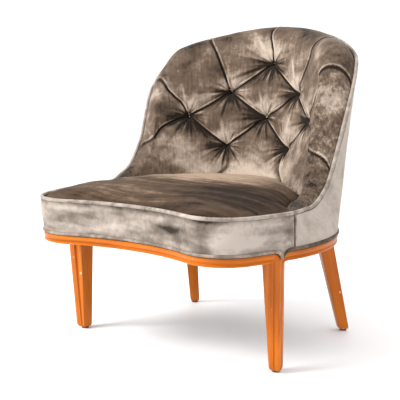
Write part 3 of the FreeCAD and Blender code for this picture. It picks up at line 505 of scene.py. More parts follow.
# show-wood mouldings
moulding = {
    "width": 0.021, "back": 0.012, "groove": 0.0042, "bendRadius": 0.020, "slope": math.radians(61),
    "notch": 0.020, "lowBend": 0.009, "endLevel": 0.2535, "endSteps": 22, "smooth": 32,
    # shares of an end where the bend, the drop and the low edge's bend are over
    "bendOver": 0.62, "dropOver": 0.82, "lowOver": 0.9,
    # share of the width from the top edge, depth under the outline
    "profile": [
        (0.0, 0.0042), (0.03, 0.0024), (0.09, 0.0008), (0.20, 0.0001), (0.34, 0.0), (0.47, 0.0005),
        (0.56, 0.0016), (0.63, 0.0030), (0.69, 0.0036), (0.755, 0.0033), (0.80, 0.0018), (0.84, 0.0009),
        (0.90, 0.0007), (0.96, 0.0012), (1.0, 0.0026)],
}
rail = {"outer": 0.0118, "inner": 0.045, "smooth": 30, "joint": 41.0, "legClear": 0.034}
# top and foot, or front and side where a pair belongs to the strips
frontLeg = {"bearing": 107.3, "radius": 0.310, "turn": math.radians(10.5), "top": 0.040, "foot": 0.025,
            "splay": (0.004, 0.009), "proudTop": 0.0080, "proudFoot": 0.0042, "sideWidth": (0.021, 0.0155),
            "round": 0.0016, "low": 0.004, "rings": 26}
backLeg = {"bearing": 41.0, "radius": 0.330, "top": 0.038, "foot": 0.025, "splay": (0.029, 0.063),
           "round": 0.002, "rings": 20}
roundShare = 0.3  # share of a corner's round at which its middle point stands in
profileShares, profileDepths = np.array(moulding["profile"]).T
bendDrop = moulding["bendRadius"] * (1 - math.cos(moulding["slope"]))
bendEnd = (moulding["notch"] - bendDrop) / math.tan(moulding["slope"])
bendStart = bendEnd + moulding["bendRadius"] * math.sin(moulding["slope"])
clearTurn = math.degrees(rail["legClear"] / float(outlineRadius(mitreBearing)))


def mouldingEdge(bearing):
    # height of the moulding's top edge, which dips where it turns down a front leg
    x = np.abs(np.radians(folded(bearing) - mitreBearing)) * outlineRadius(mitreBearing)
    arc = (bendStart - x) / moulding["bendRadius"]
    drop = moulding["bendRadius"] * (1 - np.sqrt(np.clip(1 - arc ** 2, 0, 1)))
    line = bendDrop + (bendEnd - x) * math.tan(moulding["slope"])
    return levels["mouldingTop"] - np.where(x >= bendStart, 0, np.where(x >= bendEnd, drop, line))


def legCorner(side, height):
    # outer corner, front and side directions and the taper's share at a height of a front leg
    share = (levels["railBottom"] - np.asarray(height, float)) / (levels["railBottom"] - frontLeg["low"])
    turn = frontLeg["turn"]
    front = np.array([side * math.sin(turn), -math.cos(turn), 0])
    flank = np.array([side * math.cos(turn), math.sin(turn), 0])
    start = polar(side * frontLeg["bearing"], frontLeg["radius"], 0.0)
    shift = np.array([side * frontLeg["splay"][0], frontLeg["splay"][1], 0])
    width = mix(frontLeg["top"], frontLeg["foot"], share)
    proud = mix(frontLeg["proudTop"], frontLeg["proudFoot"], share)
    centre = start + share[..., None] * shift + np.stack([0 * share, 0 * share, height + 0 * share], -1)
    return centre + (width / 2 + proud)[..., None] * (front + flank), front, flank, width, proud, share


def outlineSpot(bearing, height):
    # spot on the outline and the direction out of it
    spot = polar(bearing, outlineRadius(bearing), height)
    ahead = polar(bearing + 0.05, outlineRadius(bearing + 0.05), height)
    tangent = unit(ahead - spot)
    outward = np.stack([-tangent[..., 1], tangent[..., 0], 0 * tangent[..., 0]], -1)
    return spot, outward * np.sign((outward * (spot - heart)).sum(-1, keepdims=True))


def mouldedSpot(side, onFront, x, z, weight):
    away = np.degrees(x / outlineRadius(mitreBearing))
    spot, outward = outlineSpot(side * (mitreBearing + (away if onFront else -away)), z)
    corner, front, flank = legCorner(side, z)[:3]
    along, legOut = (flank, front) if onFront else (front, flank)
    onLeg = weight[..., None]
    legSpot = corner - x[..., None] * along
    return spot * (1 - onLeg) + legSpot * onLeg, unit(outward * (1 - onLeg) + legOut * onLeg)


def mouldingEnd(side, onFront):
    # stations of one end of a moulding from the rail down to the leg, along its top and its low edge
    k = np.linspace(0, 1, moulding["endSteps"])
    theta = np.clip(k / moulding["bendOver"], 0, 1) * moulding["slope"]
    drop = np.clip((k - moulding["bendOver"]) / (moulding["dropOver"] - moulding["bendOver"]), 0, 1)
    down = np.clip((k - moulding["dropOver"]) / (1 - moulding["dropOver"]), 0, 1)
    topX = (bendStart - moulding["bendRadius"] * np.sin(theta)) * (1 - drop)
    topZ = levels["mouldingTop"] - moulding["bendRadius"] * (1 - np.cos(theta))
    topZ = topZ - drop * (moulding["notch"] - bendDrop)
    topZ = topZ + down * (moulding["endLevel"] - topZ)
    phi = np.clip(k / moulding["lowOver"], 0, 1) * math.pi / 2
    lowX = moulding["width"] + moulding["lowBend"] * (1 - np.sin(phi))
    lowZ = levels["railBottom"] - moulding["lowBend"] * (1 - np.cos(phi))
    lowZ = lowZ + down * (moulding["endLevel"] - lowZ)
    weight = ease(k ** 0.8)
    return [mouldedSpot(side, onFront, x, z, weight) for x, z in ((topX, topZ), (lowX, lowZ))]


def sweepMoulding(name, top, low, topOut, lowOut):
    # closed strip: relief outside, plain back
    shares = np.concatenate([profileShares, [1.0, 0.5, 0.0, 0.0]])
    depths = np.concatenate([profileDepths, [moulding["back"]] * 3, [profileDepths[0]]])
    s = shares[:, None, None]
    spots = top * (1 - s) + low * s - (topOut * (1 - s) + lowOut * s) * depths[:, None, None]
    along = np.repeat(lengthsAlong(((top + low) / 2)[None], 1), len(shares), 0)
    steps = np.hypot(np.diff(shares) * moulding["width"], np.diff(depths))
    around = np.repeat(np.cumsum(np.r_[0, steps])[:, None], len(top), 1)
    return gridPiece(name, spots, moulding["smooth"], along=along, around=around)


def railBody(name, bearings):
    section = [(rail["outer"], "railBottom"), (rail["outer"], "railTop"), (rail["inner"], "railTop"),
               (rail["inner"], "railBottom"), (rail["outer"], "railBottom")]
    return gridPiece(name, np.stack([polar(bearings, outlineRadius(bearings, -depth), levels[level])
                                     for depth, level in section]), rail["smooth"])


def railPiece(name, node, first, last, count, leftEnd=None, rightEnd=None):
    # bearings rise along the rail; an end that meets a front leg turns down it
    bearings = np.linspace(first, last, count)
    parts = [[outlineSpot(bearings, levels["mouldingTop"]), outlineSpot(bearings, levels["railBottom"])]]
    if leftEnd:
        parts.insert(0, [(spot[::-1], out[::-1]) for spot, out in mouldingEnd(*leftEnd)])
    if rightEnd:
        parts.append(mouldingEnd(*rightEnd))
    top, topOut, low, lowOut = [np.concatenate([part[edge][i] for part in parts])
                                for edge in (0, 1) for i in (0, 1)]
    strip = sweepMoulding(name, top, low, topOut, lowOut)
    body = railBody(name + "Body", np.linspace(first - (clearTurn if leftEnd else 0),
                                               last + (clearTurn if rightEnd else 0), count + 20))
    finishPiece(joined([strip, body]), "show_wood", node)


legEdge = mitreBearing - clearTurn
railPiece("frontRail", "front_rail", mitreBearing + clearTurn, 360 - mitreBearing - clearTurn, 130,
          (1, True), (-1, True))
railPiece("sideRailRight", "side_rail_right", rail["joint"], legEdge, 50, None, (1, False))
railPiece("sideRailLeft", "side_rail_left", -legEdge, -rail["joint"], 50, (-1, False))
railPiece("backRail", "back_rail", -rail["joint"], rail["joint"], 60)
print("rails made")


def legSection(width, proud, sideWidth, raised):
    # outline of a front leg from its V groove round the front strip, the core and the side strip
    r = frontLeg["round"]
    full = width + proud
    inset = full - r * roundShare
    groove = moulding["groove"] if raised else proud
    strip = [(share * moulding["width"], depth) for share, depth in zip(profileShares, profileDepths)][1:]
    flank = [(depth, share * sideWidth) for share, depth in zip(profileShares, profileDepths)][1:]
    joints = [[(moulding["width"] + 0.0002, proud - 0.0006)], [(proud - 0.0006, sideWidth + 0.0002)]]
    if not raised:
        strip = [(max(a, proud), proud) for a, b in strip]
        flank = [(proud, max(b, proud)) for a, b in flank]
        joints = [[(moulding["width"], proud)], [(proud, sideWidth)]]
    core = [(moulding["width"] + 0.0008, proud), (full - r, proud), (inset, proud + r * roundShare),
            (full, proud + r), (full, full - r), (inset, inset), (full - r, full), (proud + r, full),
            (proud + r * roundShare, inset), (proud, full - r), (proud, sideWidth + 0.0008)]
    start = [(groove, groove)]
    return np.array(start + strip + joints[0] + core + joints[1] + flank[::-1] + start)


# rings where a foot rounds off
foot = {"rings": 7, "turn": 84, "rise": 0.009, "drawIn": 0.36}
footTurns = np.radians(np.linspace(0, foot["turn"], foot["rings"]))
footRise = frontLeg["low"] + foot["rise"] * (1 - np.cos(footTurns))


def footScale(spot):
    return 1 - foot["drawIn"] * (1 - math.sin(footTurns[spot])) if spot < foot["rings"] else 1.0


def legPiece(name, node, rings, heights):
    spots = np.stack(rings, 1)
    piece = gridPiece(name, spots, moulding["smooth"], along=heights + 0 * spots[..., 0])
    finishPiece(piece, "show_wood", node)


def frontLegPiece(name, side, node):
    tall = np.r_[footRise, np.linspace(frontLeg["low"] + 0.010, moulding["endLevel"], frontLeg["rings"])]
    heights = np.r_[tall, moulding["endLevel"], levels["railBottom"]]
    rings = []
    for spot, height in enumerate(heights):
        corner, front, flank, width, proud, share = legCorner(side, height)
        section = legSection(width, proud, mix(*frontLeg["sideWidth"], share), spot < len(tall))
        middle = (width + proud) / 2 + 0.001
        section = middle + (section - middle) * footScale(spot)
        rings.append(corner - section[:, :1] * flank - section[:, 1:] * front)
    legPiece(name, node, rings, heights)


def backLegPiece(name, side, node):
    heights = np.r_[footRise, np.linspace(0.014, 0.258, backLeg["rings"]), levels["railBottom"]]
    turn = math.radians(backLeg["bearing"]) * side
    outward = np.array([math.sin(turn), math.cos(turn), 0])
    across = np.array([math.cos(turn), -math.sin(turn), 0])
    start = polar(side * backLeg["bearing"], backLeg["radius"], 0.0)
    rings = []
    for spot, height in enumerate(heights):
        share = (levels["railBottom"] - height) / (levels["railBottom"] - frontLeg["low"])
        half = mix(backLeg["top"], backLeg["foot"], share) / 2 * footScale(spot)
        r = backLeg["round"]
        inset = half - r * roundShare
        corner = np.array([complex(half, half - r), complex(inset, inset), complex(half - r, half)])
        section = np.concatenate([corner * 1j ** quarter for quarter in (0, 1, 2, 3, 4)])[:13, None]
        centre = start + share * np.array([side * backLeg["splay"][0], backLeg["splay"][1], 0])
        centre[2] = height
        rings.append(centre + section.real * outward + section.imag * across)
    legPiece(name, node, rings, heights)


for sideName, side in sides.items():
    frontLegPiece("frontLeg" + sideName.capitalize(), side, "front_leg_" + sideName)
    backLegPiece("backLeg" + sideName.capitalize(), side, "back_leg_" + sideName)
print("legs made")

# tufted inside back: bearing, height and depth of each blind tuft
tufts = {
    "top": (0.0, 0.687, 0.018), "upper": (19.8, 0.612, 0.024), "middle": (0.0, 0.5465, 0.023),
    "wing": (41.3, 0.548, 0.020), "lower": (20.0, 0.4706, 0.022),
}
pleatRuns = [("top", "upper"), ("upper", "middle"), ("upper", "wing"), ("middle", "lower"),
             ("wing", "lower")]
# pleats from a tuft to the edge: tuft, its places as bearing and height, or share past 1 over the crest,
# how far each place turns in on the right side, depth at the end
edgePleats = [
    ("upper", [(23.6, 0.665), (27.2, 1.0), (30.4, 1.4), (33, 2.0)], (0, 0, 0, 0), 0.8),
    ("wing", [(44.8, 0.580), (49, 0.600), (53.5, 1.15), (56.5, 2.0)], (0, 1.5, 3, 3), 0.9),
    ("wing", [(49, 0.535), (56.5, 0.517), (61.5, 1.05), (64.5, 1.5), (66.5, 2.0)], (0, 0, 0, 0, 0), 0.9),
    ("lower", [(20.6, 0.445), (21.5, 0.415)], (0, 0), 0.1),
]
topPleat = [(0.2, 0.94), (-1.8, 1.3), (-0.6, 2.0)]
# the fold where the cushion of one wing laps over the bottom of the back
wingFold = {"line": [(18.6, 0.444), (19.0, 0.418), (22.5, 0.395), (28, 0.372)], "depths": (1.7, 1.5),
            "top": 0.474, "turn": 18.8, "turnLow": 9, "lowTop": 0.42, "reach": 0.05}
tuftStyle = {"unrollRadius": 0.29, "pitWidth": 0.015, "valley": 0.0050, "valleyWidth": 0.014,
             "crease": 0.0040, "creaseAt": 0.0012, "creaseWidth": 0.0019, "lip": 0.0022, "lipAt": -0.0032,
             "lipWidth": 0.0020,
             "puff": 0.0055, "puffWidth": 0.034, "gather": 0.0022, "gathers": (9, 14, 21, 31), "sag": 0.004}
# painted shade and highlight along a pleat and in a pit: dark crease, pale lip, shade beside the pleat,
# dark pit, lighter and darker gathers; streak is random tone
pileTones = {
    "crease": -1.1, "lip": 0.40, "under": -0.12, "over": -0.30, "pit": -0.9, "gather": 0.20, "streak": 0.06}
# direction, sharpness, distance, width and tone of the fans round a tuft: painted highlight above, painted
# shade below and to the left
tuftShadingFans = [(112, 1.6, 0.016, 0.026, 0.52), (270, 1.5, 0, 0.034, -0.55), (190, 5, 0, 0.044, -0.80)]
insideBack = {"columns": 560, "faceRows": 214, "crestRows": 40, "backRows": 9, "frameDepth": 0.0327,
              "shelfDrop": 0.015, "shelfDepth": 0.009, "roundings": 14, "wobble": 0.0014, "wornFrom": 44}
sitter = np.array([0, 0, 0.6])  # spot over the seat that the inside back faces


def crestRise(bearing):
    shoulder = crest["shoulder"] * bell(np.abs(bearing), crest["shoulderAt"], crest["shoulderWidth"])
    shoulder = shoulder + crest["shoulder"] * bell(bearing, crest["rightAt"], crest["rightWidth"])
    inwards = ease((coverEnd - np.abs(bearing)) / crest["fade"])
    return shoulder + crest["rise"] * (crest["armShare"] + (1 - crest["armShare"]) * inwards)


def crestArc(bearing, t):
    # radius and height along the rounded crest, t from its start on the face to its end by the welt
    edge = edgeHeight(bearing)
    faceTop = edge - crestDepth(bearing)
    x1, y1 = paddingFace(bearing, faceTop), faceTop
    x3, y3 = backOuter(bearing, edge) - crest["weltGap"], edge - 0.001
    x2, y2 = 0.35 * x1 + 0.65 * x3, edge + crestRise(bearing)
    d = 2 * (x1 * (y2 - y3) + x2 * (y3 - y1) + x3 * (y1 - y2))
    s1, s2, s3 = x1 ** 2 + y1 ** 2, x2 ** 2 + y2 ** 2, x3 ** 2 + y3 ** 2
    cx = (s1 * (y2 - y3) + s2 * (y3 - y1) + s3 * (y1 - y2)) / d
    cy = (s1 * (x3 - x2) + s2 * (x1 - x3) + s3 * (x2 - x1)) / d
    radius = np.hypot(x1 - cx, y1 - cy)
    start = np.arctan2(y1 - cy, x1 - cx) % (2 * math.pi)
    end = np.arctan2(y3 - cy, x3 - cx)
    angle = mix(start, end, t)
    return cx + radius * np.cos(angle), cy + radius * np.sin(angle), radius * np.abs(end - start)


def faceLength(bearing):
    return edgeHeight(bearing) - crestDepth(bearing) - levels["deck"]


def sheetSpot(bearing, v):
    # place on the unrolled face: v is 0 to 1 up the face and 1 to 2 over the crest
    bearing = np.asarray(bearing, float)
    arc = crestArc(bearing, 0.5)[2]
    length = faceLength(bearing) * np.minimum(v, 1) + arc * np.maximum(v - 1, 0)
    return np.stack([np.radians(bearing) * tuftStyle["unrollRadius"], length], -1)


def faceShare(bearing, height):
    # share up the face of a height in metres; 1 and more is a share already
    return height if height >= 1 else (height - levels["deck"]) / float(faceLength(np.array(bearing)))


def tuftSpot(name, side):
    bearing, height, depth = tufts[name]
    return side * bearing, faceShare(bearing, height)


def smoothLine(points, steps=10):
    # Catmull-Rom curve through points on the unrolled face
    points = np.array(points)
    padded = np.vstack([2 * points[0] - points[1], points, 2 * points[-1] - points[-2]])
    line = []
    for spot in range(len(points) - 1):
        a, b, c, d = padded[spot:spot + 4]
        for t in np.linspace(0, 1, steps, endpoint=False):
            line.append(0.5 * (2 * b + (c - a) * t + (2 * a - 5 * b + 4 * c - d) * t ** 2
                               + (3 * b - a - 3 * c + d) * t ** 3))
    line.append(points[-1])
    return np.array(line)


def pleatLines():
    # lines on the unrolled face, with the depth at their two ends
    lines = []
    for side in (-1, 1):
        spot = {name: tuftSpot(name, side) for name in tufts}
        for first, second in pleatRuns:
            a, b = sheetSpot(*spot[first]), sheetSpot(*spot[second])
            lines.append((smoothLine([a, (a + b) / 2 - np.array([0, tuftStyle["sag"]]), b]), 1.0, 1.0))
        for tuft, places, turns, endShare in edgePleats:
            points = [sheetSpot(*spot[tuft])]
            for (bearing, height), turn in zip(places, turns):
                points.append(sheetSpot(side * bearing - turn * (side > 0), faceShare(bearing, height)))
            lines.append((smoothLine(points), 1.0, endShare))
    lines.append((smoothLine([sheetSpot(*place) for place in [tuftSpot("top", 1)] + topPleat]), 1.0, 0.8))
    places = [tuftSpot("lower", 1)] + [(b, faceShare(b, height)) for b, height in wingFold["line"]]
    lines.append((smoothLine([sheetSpot(*place) for place in places]), *wingFold["depths"]))
    return lines


def distanceTo(line, spots):
    # distance, signed side and share along a line for each spot of the unrolled face
    best = np.full(spots.shape[:2], 9.0)
    signed = np.zeros_like(best)
    share = np.zeros_like(best)
    count = len(line) - 1
    for k in range(count):
        run = line[k + 1] - line[k]
        t = np.clip(((spots - line[k]) @ run) / (run @ run), 0, 1)
        gap = spots - line[k] - t[..., None] * run
        distance = np.hypot(gap[..., 0], gap[..., 1])
        nearer = distance < best
        best = np.where(nearer, distance, best)
        signed = np.where(nearer, np.sign(run[0] * gap[..., 1] - run[1] * gap[..., 0]), signed)
        share = np.where(nearer, (k + t) / count, share)
    return best, signed, share


def softNoise(spots, scale, seed, layers=3):
    # seeded sum of sines, smooth and the same each run
    draw = np.random.default_rng(seed)
    total = np.zeros(spots.shape[:-1])
    for layer in range(layers):
        for wave in range(5):
            direction = draw.normal(size=spots.shape[-1])
            direction = direction / np.linalg.norm(direction) * scale * 1.9 ** layer
            total += np.sin(spots @ direction * 2 * math.pi + draw.uniform(0, 6.28)) * 0.55 ** layer
    return total / 5


def tuftField(bearings, v):
    # depth of the tufts and pleats, and the painted shade and highlights of the velvet with random streaks,
    # over the unrolled face
    style = tuftStyle
    spots = sheetSpot(bearings, v)
    depth, pile, lip = np.zeros((3,) + spots.shape[:2])
    nearest = np.full(spots.shape[:2], 9.0)
    draw = np.random.default_rng(7)
    streaks = softNoise(spots * np.array([260, 22]), 0.5, 61, 3)
    for line, startShare, endShare in pleatLines():
        distance, signed, share = distanceTo(line, spots)
        if line[0][0] > line[-1][0]:
            signed = -signed
        level = mix(startShare, endShare, ease(share))
        under = signed < 0
        broad = style["valley"] * (1 - 0.8 * ease((share - 0.1) / 0.5) * (endShare < 1))
        valley = broad * level * np.exp(-(distance / style["valleyWidth"]) ** 1.2)
        depth = np.maximum(depth, valley) + 0.2 * np.minimum(depth, valley)
        gap = distance * np.where(under, 1, -1)
        crease = level * bell(gap, style["creaseAt"], style["creaseWidth"])
        depth = depth + style["crease"] * crease
        lip = np.maximum(lip, level * bell(gap, style["lipAt"], style["lipWidth"]))
        # painted shade in the crease and beside the pleat, painted highlight on its lip
        pile += pileTones["crease"] * crease + pileTones["lip"] * level * bell(gap, -0.0033, 0.0018)
        beside = np.where(under, pileTones["under"], pileTones["over"] * bell(share, 0, 0.45))
        pile += beside * level * np.exp(-distance / 0.009)
        nearest = np.minimum(nearest, distance)
    for name, (bearing, height, pitDepth) in tufts.items():
        for side in (-1, 1) if bearing else (1,):
            offset = spots - sheetSpot(*tuftSpot(name, side))
            away = np.hypot(offset[..., 0], offset[..., 1])
            around = np.arctan2(offset[..., 1], offset[..., 0])
            pit = pitDepth * np.exp(-(away / style["pitWidth"]) ** 1.05)
            folds = sum(np.sin(n * around + draw.uniform(0, 6.28)) / (1 + 0.03 * n)
                        for n in style["gathers"])
            gather = style["gather"] * folds / 2 * bell(away, 0.018, 0.015)
            depth = np.maximum(depth, pit) + 0.35 * np.minimum(depth, pit) + gather
            # painted highlight above each tuft and painted shade below and to its left
            for direction, sharpness, distance, width, tone in tuftShadingFans:
                fan = np.clip(np.cos(around - math.radians(direction)), 0, 1) ** sharpness
                pile += tone * fan * bell(away * (1 + 0.22 * folds), distance, width)
            # painted shade in the pit, painted highlight and shade along the gathers round it
            pile += pileTones["pit"] * bell(away, 0, 0.0085)
            pile += pileTones["gather"] * folds * bell(away, 0.022, 0.020)
            nearest = np.minimum(nearest, away)
    over = ease((v - 0.93) / 0.22)
    puff = style["puff"] * ((1 - over) * (1 - bell(nearest, 0, style["puffWidth"])) + 0.35 * over)
    depth = depth * (1 - 0.45 * over)
    return puff - depth + lip * style["lip"] * (1 - 0.3 * over), pile + pileTones["streak"] * streaks


def facing(spots, rows):
    # normals of the first rows, turned towards the sitter
    normals = gridNormals(spots)[:rows]
    return normals * np.sign(((sitter - spots[:rows]) * normals).sum(-1).mean())


def insideBackPiece():
    # rows run up the face, over the crest, down the hidden back and along the deck
    columns = np.linspace(-coverEnd, coverEnd, insideBack["columns"] + 1)[None]
    face = np.linspace(0, 1, insideBack["faceRows"] + 1)[:, None]
    over = np.linspace(0, 1, insideBack["crestRows"] + 1)[1:, None]
    v = np.vstack([face, 1 + over])
    shown = len(v)
    faceZ = levels["deck"] + faceLength(columns) * face
    crestR, crestZ, arc = crestArc(columns, over)
    shelf = edgeHeight(columns) - insideBack["shelfDrop"]
    backZ = mix(shelf, levels["deck"], np.linspace(0, 1, insideBack["backRows"])[:, None])
    deck = levels["deck"] + 0 * columns
    radius = np.vstack([
        paddingFace(columns, faceZ), crestR, backOuter(columns, shelf) - insideBack["shelfDepth"],
        backOuter(columns, backZ) - insideBack["frameDepth"], paddingFace(columns, deck)])
    height = np.vstack([faceZ, crestZ, shelf, backZ, deck])
    for turn in range(insideBack["roundings"]):
        # rounds the meeting of face and crest
        for values in (radius, height):
            values[1:shown - 1] = (values[:shown - 2] + 2 * values[1:shown - 1] + values[2:shown]) / 4
    spots = polar(columns, radius, height)
    outward = facing(spots, shown)
    bearings = np.repeat(columns, shown, 0)
    relief, pile = tuftField(bearings, v)
    b, z = np.abs(bearings), height[:shown]
    lowShare = ease((wingFold["top"] - z) / wingFold["reach"])
    past = b - (wingFold["turn"] + wingFold["turnLow"] * ease((wingFold["lowTop"] - z) / wingFold["reach"]))
    fold = np.where(past < 0, -0.006 * bell(past, 0, 4), 0.008 * bell(past, 7, 7))
    # painted shade on the inner side of the wing fold and painted highlight on the wing's edge
    foldShading = np.where(past < 0, -0.45 * bell(past, 0, 3.5), 0.30 * bell(past, 3.5, 3)) * (bearings > 0)
    wobble = softNoise(spots[:shown], 9, 3) * insideBack["wobble"] + fold * lowShare
    fade = ease((2 - v) / 0.5) * ease(v / 0.03)
    move = (relief + wobble) * (0.25 + 0.75 * fade) * ease((coverEnd - b) / 5)
    move = np.where(v > 1.96, np.minimum(move, 0), move)
    spots[:shown] += outward * move[..., None]
    slope = np.clip(facing(spots, shown)[..., 2], -0.6, 1)
    low = bell(v * faceLength(bearings), 0.10, 0.045) * np.exp(-(bearings / 40) ** 4)
    worn = softNoise(spots[:shown], 30, 13, 4) * ease((b - insideBack["wornFrom"]) / 10)
    toneAndShade, crushed = np.zeros((2,) + radius.shape)
    # velvet tone: painted shade and highlights of the tufts, pleats and wing fold; darker where the surface
    # faces up and paler where it faces down, as painted shade and sheen; a paler band low on the face;
    # random patches and the worn mottle
    toneAndShade[:shown] = (1.25 * (pile + foldShading * lowShare) - 0.42 * slope + 0.12 * softNoise(spots[:shown], 6, 11)
                   + 0.46 * low + 0.12 * worn)
    crushed[:shown] = ease((bearings - insideBack["wornFrom"]) / 14) * (0.35 + 0.65 * ease((v - 0.6) / 0.4))
    piece = gridPiece("insideBack", spots, 70, pile=toneAndShade, crushed=crushed)
    finishPiece(piece, "velvet_back", "inside_back_tufted", "back_stuffing", fill=0.8)


insideBackPiece()
print("inside back made")

# outside back, front band and welts
cover = {"thickness": 0.003, "edgeInset": 0.0025, "weltRise": 0.0018, "flareOut": 0.006, "flareTurn": 18.0}
# bearing, width and tone of lighter and darker patches along the band
bandPatches = [(128, 8, 0.42), (138.5, 3, -0.30), (112, 6, 0.10)]
seam = {"spread": 1.45, "radius": 0.0023, "inset": 0.0012, "turns": 10, "drop": 0.003}


def bandFlare(bearing):
    return cover["flareOut"] * ease((folded(bearing) - seamBearing) / cover["flareTurn"])


def coverBottom(bearing):
    return mouldingEdge(bearing) + 2 * baseWeltRadius + 0.0003


def bearingRun(ends, counts):
    # bearings through the ends, with a count of steps for each stretch
    runs = [np.linspace(*run, endpoint=False) for run in zip(ends, ends[1:], counts)]
    return np.concatenate(runs + [ends[-1:]])


def coverPiece(name, bearings, topOf, radiusOf, rows, relief, slotName, *nodes, fill):
    t = np.linspace(0, 1, rows + 1)[:, None]
    bearings = bearings[None]
    low = coverBottom(bearings)
    heights = mix(low, topOf(bearings), t)
    spots = polar(bearings, radiusOf(bearings, heights, t), heights)
    outward = gridNormals(spots)
    outward = outward * np.sign((outward * (spots - heart)).sum(-1, keepdims=True))
    move, pile = relief(spots, t, bearings)
    piece = clothPiece(name, spots + outward * move[..., None], cover["thickness"], pile=pile)
    finishPiece(piece, slotName, *nodes, fill=fill)


def edgeSteepness(bearing):
    b = np.abs(bearing)
    rise = edgeHeight(b + 0.5) - edgeHeight(np.maximum(b - 0.5, 0))
    return np.sqrt(1 + (rise / (math.radians(1) * outlineRadius(bearing))) ** 2)


def outsideTop(bearing):
    return edgeHeight(bearing) + cover["weltRise"] - (weltRadius + 0.0006) * edgeSteepness(bearing)


def outsideRelief(spots, t, bearings):
    soft = softNoise(spots, 5, 21) * 0.0012 * np.sin(math.pi * t) ** 0.5
    pull = 0.0008 * np.sin(np.radians(bearings) * 62) * bell(t, 1, 0.07)
    return soft + pull, 0.06 * softNoise(spots, 4, 22)


def bandRelief(spots, t, bearings):
    # shallow creases under the welt and bagging between its ends
    creases = softNoise(spots * np.array([1.6, 1.6, 9]), 3.2, 31, 4)
    move = (creases * 0.0011 + 0.0016 * np.sin(math.pi * t)) * np.sin(math.pi * t) ** 0.7
    # band tone: painted shading that follows the creases (lighter where they stand out), painted shade just
    # under the welt, a darker patch on the right front and the listed patches
    pile = 0.24 * creases - 0.34 * bell(t, 1, 0.09) - 0.75 * bell(bearings, 154, 8) * bell(t, 0.55, 0.16)
    for bearing, width, tone in bandPatches:
        pile = pile + tone * bell(bearings, bearing, width)
    # painted shade beside the seam
    return move, pile - 0.28 * bell(bearings, 105, 3.5) * (0.5 + 0.5 * softNoise(spots, 40, 33))


coverPiece("outsideBack", np.linspace(-coverEnd, coverEnd, 300), outsideTop,
           lambda b, z, t: backOuter(b, z), 60,
           outsideRelief, "velvet_outside", "outside_back_cover", fill=0.9)
coverPiece("frontBand", bearingRun([bandStart, 113, 247, 360 - bandStart], [40, 240, 40]),
           lambda b: levels["bandTop"] - weltRadius - 0.0003 + 0 * b,
           lambda b, z, t: outlineRadius(b) + bandFlare(b) * t, 26,
           bandRelief, "velvet_band", "front_band", "seat_edge_roll", fill=0.85)


def weltPiece(name, node, points, radius=weltRadius, toneAndShade=0.0):
    finishPiece(tubePiece(name, points, radius, toneAndShade=toneAndShade), "velvet_welt", node)


def baseWeltLine(bearings):
    # the welt lies on the moulding and rounds the bottom of the groove
    height = mouldingEdge(bearings)
    step = np.degrees(0.002 / outlineRadius(mitreBearing))
    lean = np.arctan((mouldingEdge(bearings + step) - mouldingEdge(bearings - step)) / 0.004)
    bearings = bearings - np.degrees(np.sin(lean) * baseWeltRadius / outlineRadius(bearings))
    height = height + baseWeltRadius * np.cos(lean) + 0.0001
    return polar(bearings, outlineRadius(bearings) - 0.0005, height)


seatWeltRun = np.linspace(bandStart + 0.25, 359.75 - bandStart, 320)
weltPiece("seatWelt", "seat_welt",
          polar(seatWeltRun, outlineRadius(seatWeltRun) + 0.6 * bandFlare(seatWeltRun), levels["bandTop"]))
edgeRun = np.linspace(-coverEnd, coverEnd, 420)
weltPiece("backEdgeWelt", "back_edge_welt",
          polar(edgeRun, backOuter(edgeRun, edgeHeight(edgeRun)) - cover["edgeInset"],
                edgeHeight(edgeRun) + cover["weltRise"]))
# the base welts carry painted shade: slightly darker in front, much darker round the sides and back
tip = mitreBearing + 0.62
weltPiece("baseWeltFront", "base_welt_front",
          baseWeltLine(bearingRun([tip, 114, 246, 360 - tip], [40, 180, 39])), baseWeltRadius, -0.12)
tip = mitreBearing - 0.62
weltPiece("baseWeltBack", "base_welt_back",
          baseWeltLine(bearingRun([-tip, -103, 103, tip], [40, 260, 39])), baseWeltRadius, -0.55)
for sideName, side in sides.items():
    pair = []
    for shift in (-0.5, 0.5):
        bearing = side * (seamBearing + shift * seam["spread"])
        t = np.linspace(0, 1, 24)
        reach = outlineRadius(bearing) - seam["inset"] + smoothValue(sweepPoints, seamBearing, 1) * 0.5 * t
        points = polar(bearing, reach, mix(coverBottom(bearing), levels["arm"] - seam["drop"], t))
        pair.append(tubePiece("seamWelt", points, seam["radius"], seam["turns"]))
    piece = joined(pair)
    piece.name = "seamWelts" + sideName.capitalize()
    finishPiece(piece, "velvet_welt", "seam_welts_" + sideName)
print("outside, band and welts made")

# crowned seat
seat = {"crown": 0.0405, "inset": 0.0049, "clear": 0.0022, "rim": 0.016, "backLevel": 0.385, "rings": 70,
        "base": 0.3632, "under": 0.0002, "edgePower": 1.35, "fold": 0.0021}


def seatReach(bearing):
    # edge of the seat: full outline in front, the padding's face inside the arms and the back
    b = folded(bearing)
    inBack = np.minimum(b, coverEnd)
    full = outlineRadius(bearing) - seat["inset"]
    top = edgeHeight(inBack) - crestDepth(inBack)
    inner = np.where(top < seat["backLevel"], crestArc(inBack, 0.12)[0],
                     paddingFace(inBack, seat["backLevel"])) - seat["clear"]
    return mix(inner, full, ease((b - coverEnd - 0.1) / 1.9))


